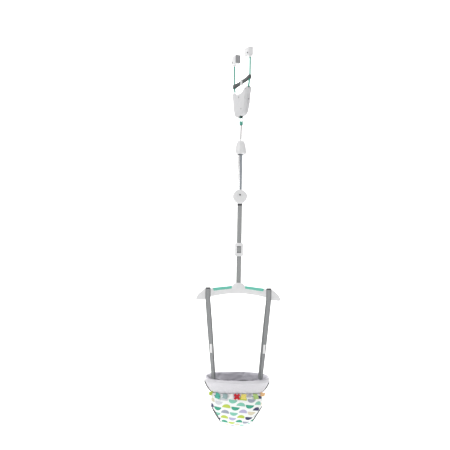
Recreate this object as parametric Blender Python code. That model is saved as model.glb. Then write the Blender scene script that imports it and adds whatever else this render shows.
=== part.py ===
"""Doorway activity jumper: a baby seat that bounces from a clamp on a door header.

Metres, +Z up. The origin is the middle of the ledge plane that the two hook blocks rest on.
The seat faces -Y. The clamp stands in its own frame, turned about Z, because the wall that it
grips does not face the same way as the seat. In that frame Y runs through the wall.
"""
import math

import bmesh
import bpy
from mathutils import Matrix, Vector

GAP = 0.0003                       # running gap between two pieces that touch
TURN = math.radians(20)            # clamp frame about Z

# Clamp, in its own frame (Y through the wall)
HALF_WALL = 0.050                  # pad face to the middle of the wall
BLOCK_END = 0.104
BLOCK_HEIGHT = 0.040
BLOCK_HALF_X = 0.012
PAD_THICK = 0.004
ROD_RADIUS = 0.004
ROD_Y = 0.0975
ROD_TOP = 0.018
BEND_Z = -0.084
PIVOT_Y = 0.081
PIVOT_Z = -0.141
PIN_RADIUS = 0.003
HUB_RADIUS = 0.0075
DRAW_PIN_Z = -0.185
HUB_HALF = 0.0049                  # half width of a lever's hub
HOUSING_HALF = 0.0135              # half thickness over the flat of the housing
HOUSING_EDGE = 0.0064              # half thickness at its rim
HOUSING_MID_Z = -0.190
WALL = 0.0025                      # moulded walls
HOOK_SLOT_X = 0.0098               # half width of the slot that the hook draws up into
STRAP_Z = (-0.107, -0.087)         # safety strap, bottom and top

# Suspension line, straight down the Z axis
EYE_Z = -0.249
HOOK_BOW_Z = -0.2572
HOOK_HALF = 0.0065
BARREL_TOP = -0.2705
BARREL_BOTTOM = -0.287
CORD_TOP = -0.2813
CORD_RADIUS = 0.00325
FERRULE_TOP = -0.3578
FERRULE_BOTTOM = -0.370
BELL_TOP = -0.352
BELL_BOTTOM = -0.418
ANCHOR_Z = -0.401                  # underside of the upper spring anchor
LOWER_ANCHOR_Z = -0.588            # top of the lower spring anchor
DISC_Z = -0.6055
DISC_RADIUS = 0.0325
DISC_SCREW_Z = -0.599
ROLLER_Z = -0.618
WEB_HALF = 0.0105
WEB_THICK = 0.0014
SLIDER_TOP = -0.812
SLIDER_BOTTOM = -0.872
SLIDER_HALF = 0.019

# Spreader bar
HUB_TOP = -0.990
BAR_HALF_Y = 0.0145
STRAP_X = 0.135
STRAP_HALF = 0.011
STRAP_THICK = 0.0020
TAG_Z = (-1.301, -1.262)            # bottom and top of the tags on the straps
TAG_THICK = 0.0008
LEG_STEPS = 12                     # lengths of strap between the rim and the bar
SADDLE_Z = -1.0150                 # top of the bar under the seat straps
HUB_PIN_Z = -1.006
SEAT_AXIS_Z = -1.0295              # the seat tilts about this line in the bar
STRAP_ARC = 0.0199                 # the straps' loops turn freely round the bar's corners

# Seat
RIM_Z = -1.407
RIM_TILT = 0.08                    # the back of the rim stands higher
RIM_HALF = (0.141, 0.115)
POUCH_TOP = -1.475
ROUND = 2.5                        # power of the superellipse of every seat ring

AXES = {"X": Vector((1, 0, 0)), "Y": Vector((0, 1, 0)), "Z": Vector((0, 0, 1))}

WHITE = ("white_plastic", (0.90, 0.90, 0.91), 0.35, 0.0)
SHELL = ("pale_grey_plastic", (0.78, 0.78, 0.79), 0.40, 0.0)
TEAL = ("teal_coating", (0.12, 0.50, 0.39), 0.40, 0.0)
STEEL = ("steel", (0.55, 0.56, 0.58), 0.35, 1.0)
BLACK_STEEL = ("dark_steel", (0.03, 0.03, 0.035), 0.45, 0.8)
RUBBER = ("rubber", (0.25, 0.25, 0.26), 0.80, 0.0)
WEBBING = ("webbing", (0.27, 0.28, 0.28), 0.85, 0.0)
DARK_WEB = ("dark_webbing", (0.05, 0.055, 0.06), 0.85, 0.0)
SLEEVE = ("sleeve_fabric", (0.30, 0.33, 0.36), 0.80, 0.0)
COLLAR = ("collar_fabric", (0.62, 0.61, 0.64), 0.90, 0.0)
POUCH = ("pouch_fabric", (0.88, 0.90, 0.89), 0.90, 0.0)
BINDING = ("binding", (0.02, 0.02, 0.022), 0.85, 0.0)
RIBBON = ("ribbon", (0.70, 0.60, 0.20), 0.70, 0.0)
TAG = ("tag_fabric", (0.92, 0.92, 0.92), 0.80, 0.0)


# ---------------------------------------------------------------- scene helpers
def clear_scene():
    for obj in list(bpy.data.objects):
        bpy.data.objects.remove(obj)


def material(name, colour, roughness, metallic):
    made = bpy.data.materials.new(name)
    made.use_nodes = True
    shader = made.node_tree.nodes["Principled BSDF"]
    shader.inputs["Base Color"].default_value = (*colour, 1.0)
    shader.inputs["Roughness"].default_value = roughness
    shader.inputs["Metallic"].default_value = metallic
    return made


def empty(name, place=(0, 0, 0), parent=None, turn=0.0):
    made = bpy.data.objects.new(name, None)
    made.location = place
    made.rotation_euler = (0, 0, turn)
    made.parent = parent
    bpy.context.collection.objects.link(made)
    return made


def solid(name, bm, finish, joint, smooth=30):
    """One named piece. Its mesh is given in its frame, and its origin lies on its joint."""
    bmesh.ops.recalc_face_normals(bm, faces=bm.faces)
    mesh = bpy.data.meshes.new(name)
    bm.to_mesh(mesh)
    bm.free()
    mesh.transform(Matrix.Translation(-joint.location))
    mesh.shade_smooth()
    mesh.set_sharp_from_angle(angle=math.radians(smooth))
    made = bpy.data.objects.new(name, mesh)
    made.parent = joint
    bpy.context.collection.objects.link(made)
    if finish:
        mesh.materials.append(material(name + "_" + finish[0], *finish[1:]))
    else:
        made.hide_render = True
        made.display_type = "WIRE"
    return made


def combine(piece, bm, operation="DIFFERENCE"):
    """Cut a shape from a piece, or join one to it."""
    tool = solid(piece.name + "_tool", bm, None, piece.parent)
    step = piece.modifiers.new("combine", "BOOLEAN")
    step.operation = operation
    step.solver = "EXACT"
    step.object = tool


def bevel(piece, width, segments=2):
    step = piece.modifiers.new("bevel", "BEVEL")
    step.width = width
    step.segments = segments
    step.limit_method = "ANGLE"


# ---------------------------------------------------------------- shape helpers
def loft(rings, closed=False):
    """Skin through rings of equal count, capped at both ends unless it closes on itself."""
    bm = bmesh.new()
    loops = [[bm.verts.new(point) for point in ring] for ring in rings]
    following = loops[1:] + (loops[:1] if closed else [])
    for low, high in zip(loops, following):
        for i in range(len(low)):
            j = (i + 1) % len(low)
            bm.faces.new((low[i], low[j], high[j], high[i]))
    if not closed:
        bm.faces.new(loops[0])
        bm.faces.new(loops[-1])
    return bm


def box(low, high):
    floor = [(low[0], low[1]), (high[0], low[1]), (high[0], high[1]), (low[0], high[1])]
    return loft([[(x, y, z) for x, y in floor] for z in (low[2], high[2])])


def circle(centre, radius, axis, sides=16):
    """Ring of points about a point. The axis is X, Y, Z or a direction."""
    normal = AXES[axis] if isinstance(axis, str) else axis
    turn = normal.to_track_quat("Z", "Y")
    steps = [2 * math.pi * i / sides for i in range(sides)]
    return [Vector(centre) + turn @ Vector((radius * math.cos(a), radius * math.sin(a), 0))
            for a in steps]


def rod(start, end, radius, axis, sides=16):
    return loft([circle(start, radius, axis, sides), circle(end, radius, axis, sides)])


def turned(profile, centre, axis, sides=32):
    """Solid of revolution from (radius, height along the axis) pairs, capped at both ends."""
    return loft([circle(Vector(centre) + AXES[axis] * h, r, axis, sides) for r, h in profile])


def half_turned(profile, side, steps=12):
    """Half shell of revolution about Z on one side of X = 0, from a closed (radius, z) profile."""
    rings = []
    for i in range(steps + 1):
        angle = math.pi * (i / steps - 0.5)
        rings.append([(side * (r * math.cos(angle) + GAP / 2), r * math.sin(angle), z)
                      for r, z in profile])
    return loft(rings)


def rounded(corners, steps=2):
    """Outline through (u, v, radius) corners, each turned into an arc."""
    points = []
    for i, (u, v, radius) in enumerate(corners):
        here = Vector((u, v))
        before = (Vector(corners[i - 1][:2]) - here).normalized()
        after = (Vector(corners[(i + 1) % len(corners)][:2]) - here).normalized()
        half = before.angle(after) / 2
        bisector = (before + after).normalized()
        centre = here + bisector * (radius / math.sin(half))
        reach = radius / math.tan(half)
        start = here + before * reach - centre
        end = here + after * reach - centre
        for k in range(steps + 1):
            arm = start.lerp(end, k / steps)
            points.append(centre + arm.normalized() * radius)
    return points


def inset(points, distance):
    """Outline moved inward by a distance. Its points run counter-clockwise."""
    moved = []
    for i, here in enumerate(points):
        before = (here - points[i - 1]).normalized()
        after = (points[(i + 1) % len(points)] - here).normalized()
        along = (before + after).normalized()
        shrink = distance / max(0.5, along.dot(after))
        moved.append(here + Vector((-along.y, along.x)) * shrink)
    return moved


def prism(outline, axis, low, high):
    """Flat outline pushed along X (as y, z) or along Y (as x, z)."""
    if axis == "X":
        return loft([[(depth, p[0], p[1]) for p in outline] for depth in (low, high)])
    return loft([[(p[0], depth, p[1]) for p in outline] for depth in (low, high)])


def ribbon(path, half_width, thickness, across=(1, 0, 0)):
    """Flat strap along a path. Across is one direction, or one for each point of the path."""
    path = [Vector(p) for p in path]
    widths = across if isinstance(across, list) else [across] * len(path)
    rings = []
    for i, point in enumerate(path):
        along = (path[min(i + 1, len(path) - 1)] - path[max(i - 1, 0)]).normalized()
        side = Vector(widths[i])
        side = (side - along * side.dot(along)).normalized()
        out = along.cross(side) * thickness / 2
        side = side * half_width
        rings.append([point - side - out, point + side - out, point + side + out,
                      point - side + out])
    return loft(rings)


def sweep(path, radius, sides=12, closed=False):
    """Round bar along a path, with each ring square to it."""
    path = [Vector(p) for p in path]
    count = len(path)
    rings = []
    for i, point in enumerate(path):
        if closed:
            along = path[(i + 1) % count] - path[i - 1]
        else:
            along = path[min(i + 1, count - 1)] - path[max(i - 1, 0)]
        rings.append((point, along.normalized()))
    side = rings[0][1].orthogonal().normalized()
    loops = []
    for point, along in rings:
        side = (side - along * side.dot(along)).normalized()
        up = along.cross(side)
        angles = [2 * math.pi * k / sides for k in range(sides)]
        loops.append([point + (side * math.cos(a) + up * math.sin(a)) * radius for a in angles])
    return loft(loops, closed)


def tube(name, path, radius, finish, joint, resolution=2, cyclic=False):
    """Curve object with a round bevel."""
    curve = bpy.data.curves.new(name, "CURVE")
    curve.dimensions = "3D"
    curve.bevel_depth = radius
    curve.bevel_resolution = resolution
    curve.use_fill_caps = True
    spline = curve.splines.new("POLY")
    spline.points.add(len(path) - 1)
    for slot, point in zip(spline.points, path):
        slot.co = (*(Vector(point) - joint.location), 1.0)
    spline.use_cyclic_u = cyclic
    curve.materials.append(material(name + "_" + finish[0], *finish[1:]))
    made = bpy.data.objects.new(name, curve)
    made.parent = joint
    bpy.context.collection.objects.link(made)
    return made


def arc(centre, radius, start, end, steps):
    """Points (u, v) of an arc, angles in degrees."""
    angles = [math.radians(start + (end - start) * i / steps) for i in range(steps + 1)]
    return [(centre[0] + radius * math.cos(a), centre[1] + radius * math.sin(a)) for a in angles]


def mirrored(half):
    """Counter-clockwise outline from the corners of its right half, listed from top to bottom."""
    return [(-u, v, r) for u, v, r in half] + half[::-1]


# ---------------------------------------------------------------- clamp
HOUSING_CORNERS = [(0.030, -0.146, 0.020), (0.060, -0.130, 0.014), (0.093, -0.126, 0.012),
                   (0.0920, -0.147, 0.010), (0.0820, -0.163, 0.012), (0.0770, -0.203, 0.030),
                   (0.054, -0.246, 0.026), (0.020, -0.251, 0.010)]


def housing_ring(x, shrink_y=0.0, shrink_z=0.0):
    """Housing outline at one depth, drawn in about its middle by so much at its widest."""
    scale_y = 1 - shrink_y / 0.093
    scale_z = 1 - shrink_z / 0.062
    return [(x, p[0] * scale_y, HOUSING_MID_Z + (p[1] - HOUSING_MID_Z) * scale_z)
            for p in rounded(mirrored(HOUSING_CORNERS))]


def housing(frame):
    for name, side in (("housing_left_shell", -1), ("housing_right_shell", 1)):
        rings = [housing_ring(side * HOUSING_HALF, 0.014, 0.014),
                 housing_ring(side * HOUSING_EDGE),
                 housing_ring(side * GAP / 2),
                 housing_ring(side * GAP / 2, WALL, WALL),
                 housing_ring(side * (HOUSING_EDGE - 0.001), WALL, WALL),
                 housing_ring(side * (HOUSING_HALF - WALL), 0.016, 0.016)]
        shell = solid(name, loft(rings), SHELL, frame)
        for end in (-1, 1):
            slot = sorted((end * 0.072, end * 0.105))
            combine(shell, box((-0.0052, slot[0], -0.136), (0.0052, slot[1], -0.115)))
            combine(shell, rod((-0.03, end * PIVOT_Y, PIVOT_Z), (0.03, end * PIVOT_Y, PIVOT_Z),
                               PIN_RADIUS + GAP, "X"))
        combine(shell, box((-HOOK_SLOT_X, -0.022, -0.262), (HOOK_SLOT_X, 0.022, -0.240)))
        if side < 0:
            for y, z, _ in HOUSING_SCREWS:
                combine(shell, rod((-0.03, y, z), (-0.010, y, z), 0.0024, "X", 12))
    for name, y in (("near_pivot_pin", -PIVOT_Y), ("far_pivot_pin", PIVOT_Y)):
        solid(name, turned([(0.0022, -0.0144), (0.003, -0.0136), (0.003, 0.0136),
                            (0.0022, 0.0144)], (0, y, PIVOT_Z), "X", 16), STEEL, frame)
    for name, (y, z, length) in zip(("housing_screw_upper", "housing_screw_lower"),
                                    HOUSING_SCREWS):
        solid(name, screw((-HOUSING_HALF - GAP, y, z), "X", 0.0035, 0.002, length),
              BLACK_STEEL, frame)
    buckle(frame)


HOUSING_SCREWS = [(0.0, -0.1640, 0.0040), (-0.030, -0.2200, 0.019)]   # y, z, length


def screw(face, axis, head, shank, length, toward=1):
    """Pan-head screw. Its head stands on a face, and its shank runs along the axis."""
    heights = [(head * 0.7, -0.0022), (head, -0.0015), (head, 0), (shank, 0), (shank, length)]
    return turned([(r, h * toward) for r, h in heights], face, axis, 12)


def buckle(frame):
    """Three-bar slide in the middle of the safety strap."""
    outline = rounded([(-0.012, -0.1105, 0.004), (0.012, -0.1105, 0.004),
                       (0.012, -0.0835, 0.004), (-0.012, -0.0835, 0.004)])
    plate = solid("strap_buckle", prism(outline, "X", -0.0032, 0.0032), WHITE, frame)
    for y in (-0.0055, 0.0055):
        combine(plate, box((-0.01, y - 0.003, -0.1075), (0.01, y + 0.003, -0.0865)))


def rod_path(side):
    """Middle of the rod from the hook block to the hub of its lever."""
    lean = Vector((0, PIVOT_Y - ROD_Y, PIVOT_Z - BEND_Z))
    end = Vector((0, PIVOT_Y, PIVOT_Z)) - lean.normalized() * (HUB_RADIUS + 0.0005)
    knee = Vector((0, ROD_Y, BEND_Z))
    bend = [knee + Vector((0, 0, 0.008)), knee + Vector((0, -0.0004, 0.003)),
            knee + lean.normalized() * 0.003 + Vector((0, -0.0003, 0)),
            knee + lean.normalized() * 0.008]
    points = [Vector((0, ROD_Y, ROD_TOP)), Vector((0, ROD_Y, -0.02))] + bend + [end]
    return [Vector((0, p.y * side, p.z)) for p in points]


def arm(prefix, side, joint):
    """Rod, lever, hook block and pads on one side of the wall."""
    bar = solid(prefix + "_rod", sweep(rod_path(side), ROD_RADIUS, 14), TEAL, joint)
    cross = side * ROD_Y
    combine(bar, rod((-0.02, cross, 0.012), (0.02, cross, 0.012), 0.0022, "X", 12))

    low, high = sorted((side * (HALF_WALL + PAD_THICK), side * BLOCK_END))
    block = solid(prefix + "_hook_block",
                  box((-BLOCK_HALF_X, low, 0), (BLOCK_HALF_X, high, BLOCK_HEIGHT)), WHITE, joint)
    bevel(block, 0.003)
    combine(block, loft([circle((0, cross, -0.010), 0.0062, "Z"),
                         circle((0, cross, 0.004), 0.0064, "Z")]), "UNION")
    combine(block, rod((0, cross, -0.02), (0, cross, ROD_TOP + GAP), ROD_RADIUS + GAP, "Z"))
    combine(block, rod((-0.02, cross, 0.012), (0.02, cross, 0.012), 0.0022, "X", 12))
    low, high = sorted((side * HALF_WALL, side * (HALF_WALL + PAD_THICK - GAP)))
    pad = solid(prefix + "_wall_pad", box((-0.0115, low, 0.002), (0.0115, high, 0.038)),
                RUBBER, joint)
    bevel(pad, 0.001, 1)
    solid(prefix + "_block_screw",
          turned([(0.0024, -0.0142), (0.0034, -0.0134), (0.0034, -0.0123), (0.0018, -0.0123),
                  (0.0018, 0.0115)], (0, cross, 0.012), "X", 12), BLACK_STEEL, joint)
    lever(prefix, side, joint)
    safety_strap(prefix, side, joint)


def lever(prefix, side, joint):
    """Plate from the pivot to the draw pin, with a slot for the pin at its inner end."""
    pivot = Vector((0, side * PIVOT_Y, PIVOT_Z))
    hub = solid(prefix + "_lever", turned([(HUB_RADIUS, -HUB_HALF), (HUB_RADIUS, HUB_HALF)],
                                          pivot, "X", 20), STEEL, joint)
    slope = math.atan2(DRAW_PIN_Z - PIVOT_Z, PIVOT_Y)
    along = Vector((-side * math.cos(slope), math.sin(slope)))
    normal = Vector((-along.y, along.x))

    def place(reach, offset):
        return Vector((pivot.y, pivot.z)) + along * reach + normal * offset

    low, high = (0.0023, 0.0048) if side < 0 else (-0.0048, -0.0023)
    blade = [place(0.002, -0.005), place(0.075, -0.0085), place(0.102, -0.0085),
             place(0.105, -0.005), place(0.105, 0.005), place(0.102, 0.0085),
             place(0.075, 0.0085), place(0.002, 0.005)]
    combine(hub, prism(blade, "X", low, high), "UNION")
    slot = [place(0.079, -0.0035), place(0.079, 0.0035), place(0.0995, 0.0035),
            place(0.0995, -0.0035)]
    combine(hub, prism(slot, "X", -0.02, 0.02))
    combine(hub, rod(pivot - Vector((0.02, 0, 0)), pivot + Vector((0.02, 0, 0)),
                     PIN_RADIUS + GAP, "X"))


def safety_strap(prefix, side, joint):
    """Half of the webbing loop that ties the two rods together."""
    inner, outer = 0.0126, 0.0975
    arc_points = arc((0, outer), 0.0054, 0, 180, 8)
    path = [(0.0014, inner), (0.0030, 0.060)] + arc_points + [(-0.0030, 0.060), (-0.0014, inner)]
    middle = sum(STRAP_Z) / 2
    solid(prefix + "_safety_strap",
          ribbon([(x, side * y, middle) for x, y in path], (STRAP_Z[1] - STRAP_Z[0]) / 2,
                 WEB_THICK, (0, 0, 1)), WEBBING, joint)


def draw_gear(joint):
    """Shank and pin that pull both levers down under load."""
    outline = rounded([(-0.011, -0.2577, 0.008), (0.011, -0.2577, 0.008), (0.011, -0.232, 0.004),
                       (0.0075, -0.222, 0.006), (0.0075, -0.179, 0.004),
                       (-0.0075, -0.179, 0.004), (-0.0075, -0.222, 0.006),
                       (-0.011, -0.232, 0.004)])
    shank = solid("draw_shank", prism(outline, "X", -0.0018, 0.0018), BLACK_STEEL, joint)
    combine(shank, rod((-0.02, 0, EYE_Z), (0.02, 0, EYE_Z), 0.004, "X"))
    combine(shank, rod((-0.02, 0, DRAW_PIN_Z), (0.02, 0, DRAW_PIN_Z), PIN_RADIUS + GAP, "X"))
    solid("draw_pin", rod((-0.009, 0, DRAW_PIN_Z), (0.009, 0, DRAW_PIN_Z), PIN_RADIUS, "X"),
          STEEL, joint)


# ---------------------------------------------------------------- suspension line
def snap_hook(joint, gate_joint):
    bow = [(-HOOK_HALF, BARREL_TOP - 0.002), (-HOOK_HALF, HOOK_BOW_Z - 0.008)]
    bow += arc((0, HOOK_BOW_Z), HOOK_HALF, 180, 0, 12)
    hook = solid("snap_hook", sweep([(x, 0, z) for x, z in bow], 0.0019, 10), TEAL, joint)
    barrel = [(0.0060, BARREL_TOP), (0.0078, BARREL_TOP - 0.0015), (0.0083, BARREL_BOTTOM + 0.003),
              (0.0080, BARREL_BOTTOM)]
    combine(hook, turned(barrel, (0, 0, 0), "Z", 20), "UNION")
    combine(hook, loft([circle((0, 0, BARREL_BOTTOM - 0.001), 0.0064, "Z"),
                        circle((0, 0, CORD_TOP + 0.0015), 0.0042, "Z")]))
    solid("hook_gate", rod((HOOK_HALF, 0, BARREL_TOP + 0.0006), (HOOK_HALF, 0, HOOK_BOW_Z - 0.0005),
                           0.0017, "Z", 10), TEAL, gate_joint)


def hanger(joint):
    tube("hanger_cord", [(0, 0, CORD_TOP + (FERRULE_TOP - CORD_TOP + GAP) * i / 8)
                         for i in range(9)], CORD_RADIUS, DARK_WEB, joint)
    solid("cord_ferrule", turned([(0.0068, FERRULE_BOTTOM), (0.0075, FERRULE_BOTTOM + 0.001),
                                  (0.0075, FERRULE_TOP - 0.001), (0.0068, FERRULE_TOP)],
                                 (0, 0, 0), "Z", 20), STEEL, joint)


def bell(joint):
    outer = [(0.0044, BELL_TOP), (0.008, -0.3530), (0.013, -0.3575), (0.0175, -0.3650),
             (0.0210, -0.3750), (0.0237, -0.3880), (0.0252, -0.4000), (0.0252, -0.4090),
             (0.0228, -0.4160), (0.0190, BELL_BOTTOM), (0.0162, BELL_BOTTOM)]
    inner = [(0.0162, -0.4155), (0.0180, -0.4155), (0.0208, -0.4135), (0.0227, -0.4080),
             (0.0227, -0.4000), (0.0212, -0.3890), (0.0186, -0.3765), (0.0152, -0.3675),
             (0.0110, -0.3605), (0.0090, -0.3575), (0.0044, -0.3575)]
    for name, side in (("bell_left_half", -1), ("bell_right_half", 1)):
        solid(name, half_turned(outer + inner, side), WHITE, joint)
    solid("upper_spring_anchor", turned([(0.0208, ANCHOR_Z + 0.005), (0.0215, ANCHOR_Z + 0.004),
                                         (0.0215, ANCHOR_Z)], (0, 0, 0), "Z", 24), STEEL, joint)


def spring_axis(z):
    """X of the middle of the spring, which leans a little beside the limit strap."""
    share = (z - ANCHOR_Z) / (LOWER_ANCHOR_Z - ANCHOR_Z)
    return 0.0012 + 0.0016 * share


def spring(joint):
    top, bottom = ANCHOR_Z - 0.0013, LOWER_ANCHOR_Z + 0.0013
    turns, steps = 14, 8
    coil = []
    for i in range(turns * steps + 1):
        z = top + (bottom - top) * i / (turns * steps)
        angle = 2 * math.pi * i / steps
        coil.append((spring_axis(z) + 0.0034 * math.cos(angle), 0.0034 * math.sin(angle), z))
    tube("spring", coil, 0.0009, STEEL, joint, 0)
    levels = [ANCHOR_Z - GAP + (LOWER_ANCHOR_Z - ANCHOR_Z + 2 * GAP) * i / 5 for i in range(6)]
    radii = [0.0080 - 0.0005 * i for i in range(6)]
    outside = [circle((spring_axis(z), 0, z), r, "Z") for z, r in zip(levels, radii)]
    inside = [circle((spring_axis(z), 0, z), r - 0.0007, "Z") for z, r in zip(levels, radii)]
    solid("spring_sleeve", loft(outside + inside[::-1], closed=True), SLEEVE, joint)
    solid("limit_strap", ribbon([(-0.0098, 0, ANCHOR_Z - GAP), (-0.0094, 0, LOWER_ANCHOR_Z + GAP)],
                                0.0100, 0.0036, (0, 1, 0)), DARK_WEB, joint)


def disc(joint):
    """Round housing that joins the spring to the webbing."""
    outer = [(0.020, 0.0135), (0.0270, 0.0130), (0.0310, 0.0105), (DISC_RADIUS, 0.0070),
             (DISC_RADIUS, GAP / 2)]
    inner = [(0.0300, GAP / 2), (0.0300, 0.0065), (0.0285, 0.0090), (0.0255, 0.0108),
             (0.018, 0.0110)]
    for name, side in (("disc_front_shell", -1), ("disc_rear_shell", 1)):
        profile = [(r, side * h) for r, h in outer + inner]
        shell = solid(name, turned(profile, (0, 0, DISC_Z), "Y", 28), WHITE, joint)
        combine(shell, box((-0.0125, -0.0108, -0.595), (0.0098, 0.0108, -0.565)))
        combine(shell, box((-0.0115, -0.0052, -0.650), (0.0115, 0.0052, -0.627)))
        if side < 0:
            combine(shell, rod((0, -0.02, DISC_SCREW_Z), (0, 0, DISC_SCREW_Z), 0.0024, "Y", 12))
    solid("disc_screw", screw((0, -0.0138, DISC_SCREW_Z), "Y", 0.0036, 0.002, 0.0245),
          BLACK_STEEL, joint)
    solid("lower_spring_anchor", box((-0.0135, -0.009, LOWER_ANCHOR_Z - 0.004),
                                     (0.0125, 0.009, LOWER_ANCHOR_Z)), STEEL, joint)
    solid("webbing_roller", rod((-0.016, 0, ROLLER_Z), (0.016, 0, ROLLER_Z), 0.003, "X"),
          STEEL, joint)


def upper_webbing(joint):
    """Doubled webbing that turns over the roller and comes down to the slider."""
    loop = arc((0, ROLLER_Z), 0.0040, 0, 180, 8)
    path = [(0.0010, SLIDER_TOP + GAP), (0.0010, -0.665), (0.0032, -0.632)] + loop
    path += [(-0.0032, -0.632), (-0.0010, -0.665), (-0.0010, SLIDER_TOP + GAP)]
    solid("upper_webbing", ribbon([(0, y, z) for y, z in path], WEB_HALF, WEB_THICK), WEBBING,
          joint)


def slider(joint):
    outline = rounded([(-SLIDER_HALF, SLIDER_BOTTOM, 0.006), (SLIDER_HALF, SLIDER_BOTTOM, 0.006),
                       (SLIDER_HALF, SLIDER_TOP, 0.006), (-SLIDER_HALF, SLIDER_TOP, 0.006)])
    plate = solid("slider", prism(outline, "Y", -0.0045, 0.0045), WHITE, joint)
    channel = WEB_HALF + 0.0008
    combine(plate, box((-channel, -0.0006, SLIDER_BOTTOM - 0.01), (channel, 0.01,
                                                                  SLIDER_TOP + 0.01)))
    combine(plate, box((-channel, -0.01, -0.8575), (channel, 0.01, -0.8265)))
    solid("slider_bar", rod((-channel + GAP, 0, -0.842), (channel - GAP, 0, -0.842), 0.0018, "X"),
          WHITE, joint)


def lower_webbing(joint):
    """Webbing that rides over the bar of the slider and goes down into the spreader bar."""
    path = [(0.0012, SLIDER_TOP - 0.004), (0.0012, -0.8270), (-0.0030, -0.8350),
            (-0.0030, -0.8490), (0.0012, -0.8570), (0.0012, SLIDER_BOTTOM), (0.0, -0.885),
            (0.0, HUB_PIN_Z + 0.004)]
    solid("lower_webbing", ribbon([(0, y, z) for y, z in path], WEB_HALF, WEB_THICK), WEBBING,
          joint)


# ---------------------------------------------------------------- spreader bar
BAR_CORNERS = [(0.0200, HUB_TOP, 0.006), (0.0270, -1.0030, 0.006), (0.126, SADDLE_Z, 0.030),
               (0.148, SADDLE_Z, 0.010), (0.178, -1.0400, 0.014), (0.194, -1.0690, 0.0065),
               (0.152, -1.0665, 0.010), (0.122, -1.0535, 0.030), (0.075, -1.0440, 0.060),
               (0.030, -1.0385, 0.050)]
GRIP_CORNERS = [(0.0285, -1.0030, 0.003), (0.0300, -1.0160, 0.003), (0.1097, -1.0270, 0.003),
                (0.1140, -1.0130, 0.003)]


def bar_ring(y, distance=0.0):
    outline = rounded(mirrored(BAR_CORNERS))
    return [(p[0], y, p[1]) for p in inset(outline, distance)]


def spreader_bar(joint):
    for name, side in (("bar_front_shell", -1), ("bar_rear_shell", 1)):
        rings = [bar_ring(side * BAR_HALF_Y, 0.0045), bar_ring(side * (BAR_HALF_Y - 0.0015), 0.0015),
                 bar_ring(side * (BAR_HALF_Y - 0.006)), bar_ring(side * GAP / 2),
                 bar_ring(side * GAP / 2, WALL),
                 bar_ring(side * (BAR_HALF_Y - 0.006), WALL),
                 bar_ring(side * (BAR_HALF_Y - 0.003), 0.0050)]
        shell = solid(name, loft(rings), WHITE, joint)
        combine(shell, box((-0.0113, -0.0016, -1.000), (0.0113, 0.0016, -0.980)))
        for end in (-1, 1):
            notch = [(end * p[0], p[1]) for p in inset(rounded(GRIP_CORNERS), -GAP)]
            combine(shell, prism(notch, "Y", -0.02, 0.02))
        if side > 0:
            for x in BAR_SCREWS:
                combine(shell, rod((x, 0.005, -1.036), (x, 0.03, -1.036), 0.0024, "Y", 12))
    for name, side in (("left_grip", -1), ("right_grip", 1)):
        outline = [(side * p[0], p[1]) for p in rounded(GRIP_CORNERS)]
        grip = solid(name, prism(outline, "Y", -0.0150, 0.0150), TEAL, joint)
        bevel(grip, 0.0015)
    solid("hub_pin", rod((-0.012, 0, HUB_PIN_Z), (0.012, 0, HUB_PIN_Z), 0.003, "X"), STEEL, joint)
    for name, x in zip(("bar_screw_left", "bar_screw_right"), BAR_SCREWS):
        solid(name, screw((x, BAR_HALF_Y + GAP, -1.036), "Y", 0.0032, 0.0018, 0.016, -1),
              BLACK_STEEL, joint)


BAR_SCREWS = (-0.062, 0.062)


# ---------------------------------------------------------------- seat
def ring_point(half, angle):
    """Point of a superellipse, with the angle from +X in radians."""
    c, s = math.cos(angle), math.sin(angle)
    return (math.copysign(abs(c) ** (2 / ROUND), c) * half[0],
            math.copysign(abs(s) ** (2 / ROUND), s) * half[1])


def seat_ring(half, z, tilt=0.0, sides=36):
    points = [ring_point(half, 2 * math.pi * i / sides) for i in range(sides)]
    return [(x, y, z + tilt * y) for x, y in points]


def rim_collar(joint):
    """Padded ring that flares out to the top of the seat."""
    section = [(0.000, 0.000), (0.0035, -0.010), (0.001, -0.020), (-0.012, -0.045),
               (-0.027, -0.0655), (-0.034, -0.0665), (-0.031, -0.045), (-0.020, -0.022),
               (-0.014, -0.008), (-0.007, 0.001)]
    rings = []
    for out, drop in section:
        tilt = RIM_TILT * (1 + drop / 0.0665)
        half = (RIM_HALF[0] + out, RIM_HALF[1] + out * 0.8)
        rings.append(seat_ring(half, RIM_Z + drop, tilt))
    solid("rim_collar", loft(rings, closed=True), COLLAR, joint, 60)


POUCH_LEVELS = [(-1.4755, 0.1120, 0.0930), (-1.500, 0.1140, 0.0950), (-1.530, 0.1130, 0.0930),
                (-1.560, 0.1070, 0.0860), (-1.585, 0.0950, 0.0750), (-1.605, 0.0780, 0.0600),
                (-1.620, 0.0520, 0.0400), (-1.628, 0.0250, 0.0200)]


def bowl(offset_in, thickness):
    """Open bowl: outer skin of the pouch drawn in by an offset, with a wall thickness."""
    outside = [seat_ring((rx - offset_in, ry - offset_in), z + drawn_up(i, offset_in))
               for i, (z, rx, ry) in enumerate(POUCH_LEVELS)]
    deeper = offset_in + thickness
    inside = [seat_ring((rx - deeper, ry - deeper), z + drawn_up(i, deeper))
              for i, (z, rx, ry) in enumerate(POUCH_LEVELS)]
    return loft(outside[::-1] + inside)


def drawn_up(level, offset):
    """How far an inner skin's ring lies above the outer skin's ring, growing to the bottom."""
    return offset * (level / (len(POUCH_LEVELS) - 1)) ** 2


LEG_AXIS = Vector((0.86, -0.16, -0.48)).normalized()
LEG_CENTRE = Vector((0.085, -0.012, -1.572))
LEG_RADIUS = 0.043


def leg_tool(side, radius):
    direction = Vector((LEG_AXIS.x * side, LEG_AXIS.y, LEG_AXIS.z))
    centre = Vector((LEG_CENTRE.x * side, LEG_CENTRE.y, LEG_CENTRE.z))
    return loft([circle(centre - direction * 0.045, radius, direction, 32),
                 circle(centre + direction * 0.090, radius, direction, 32)])


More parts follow.
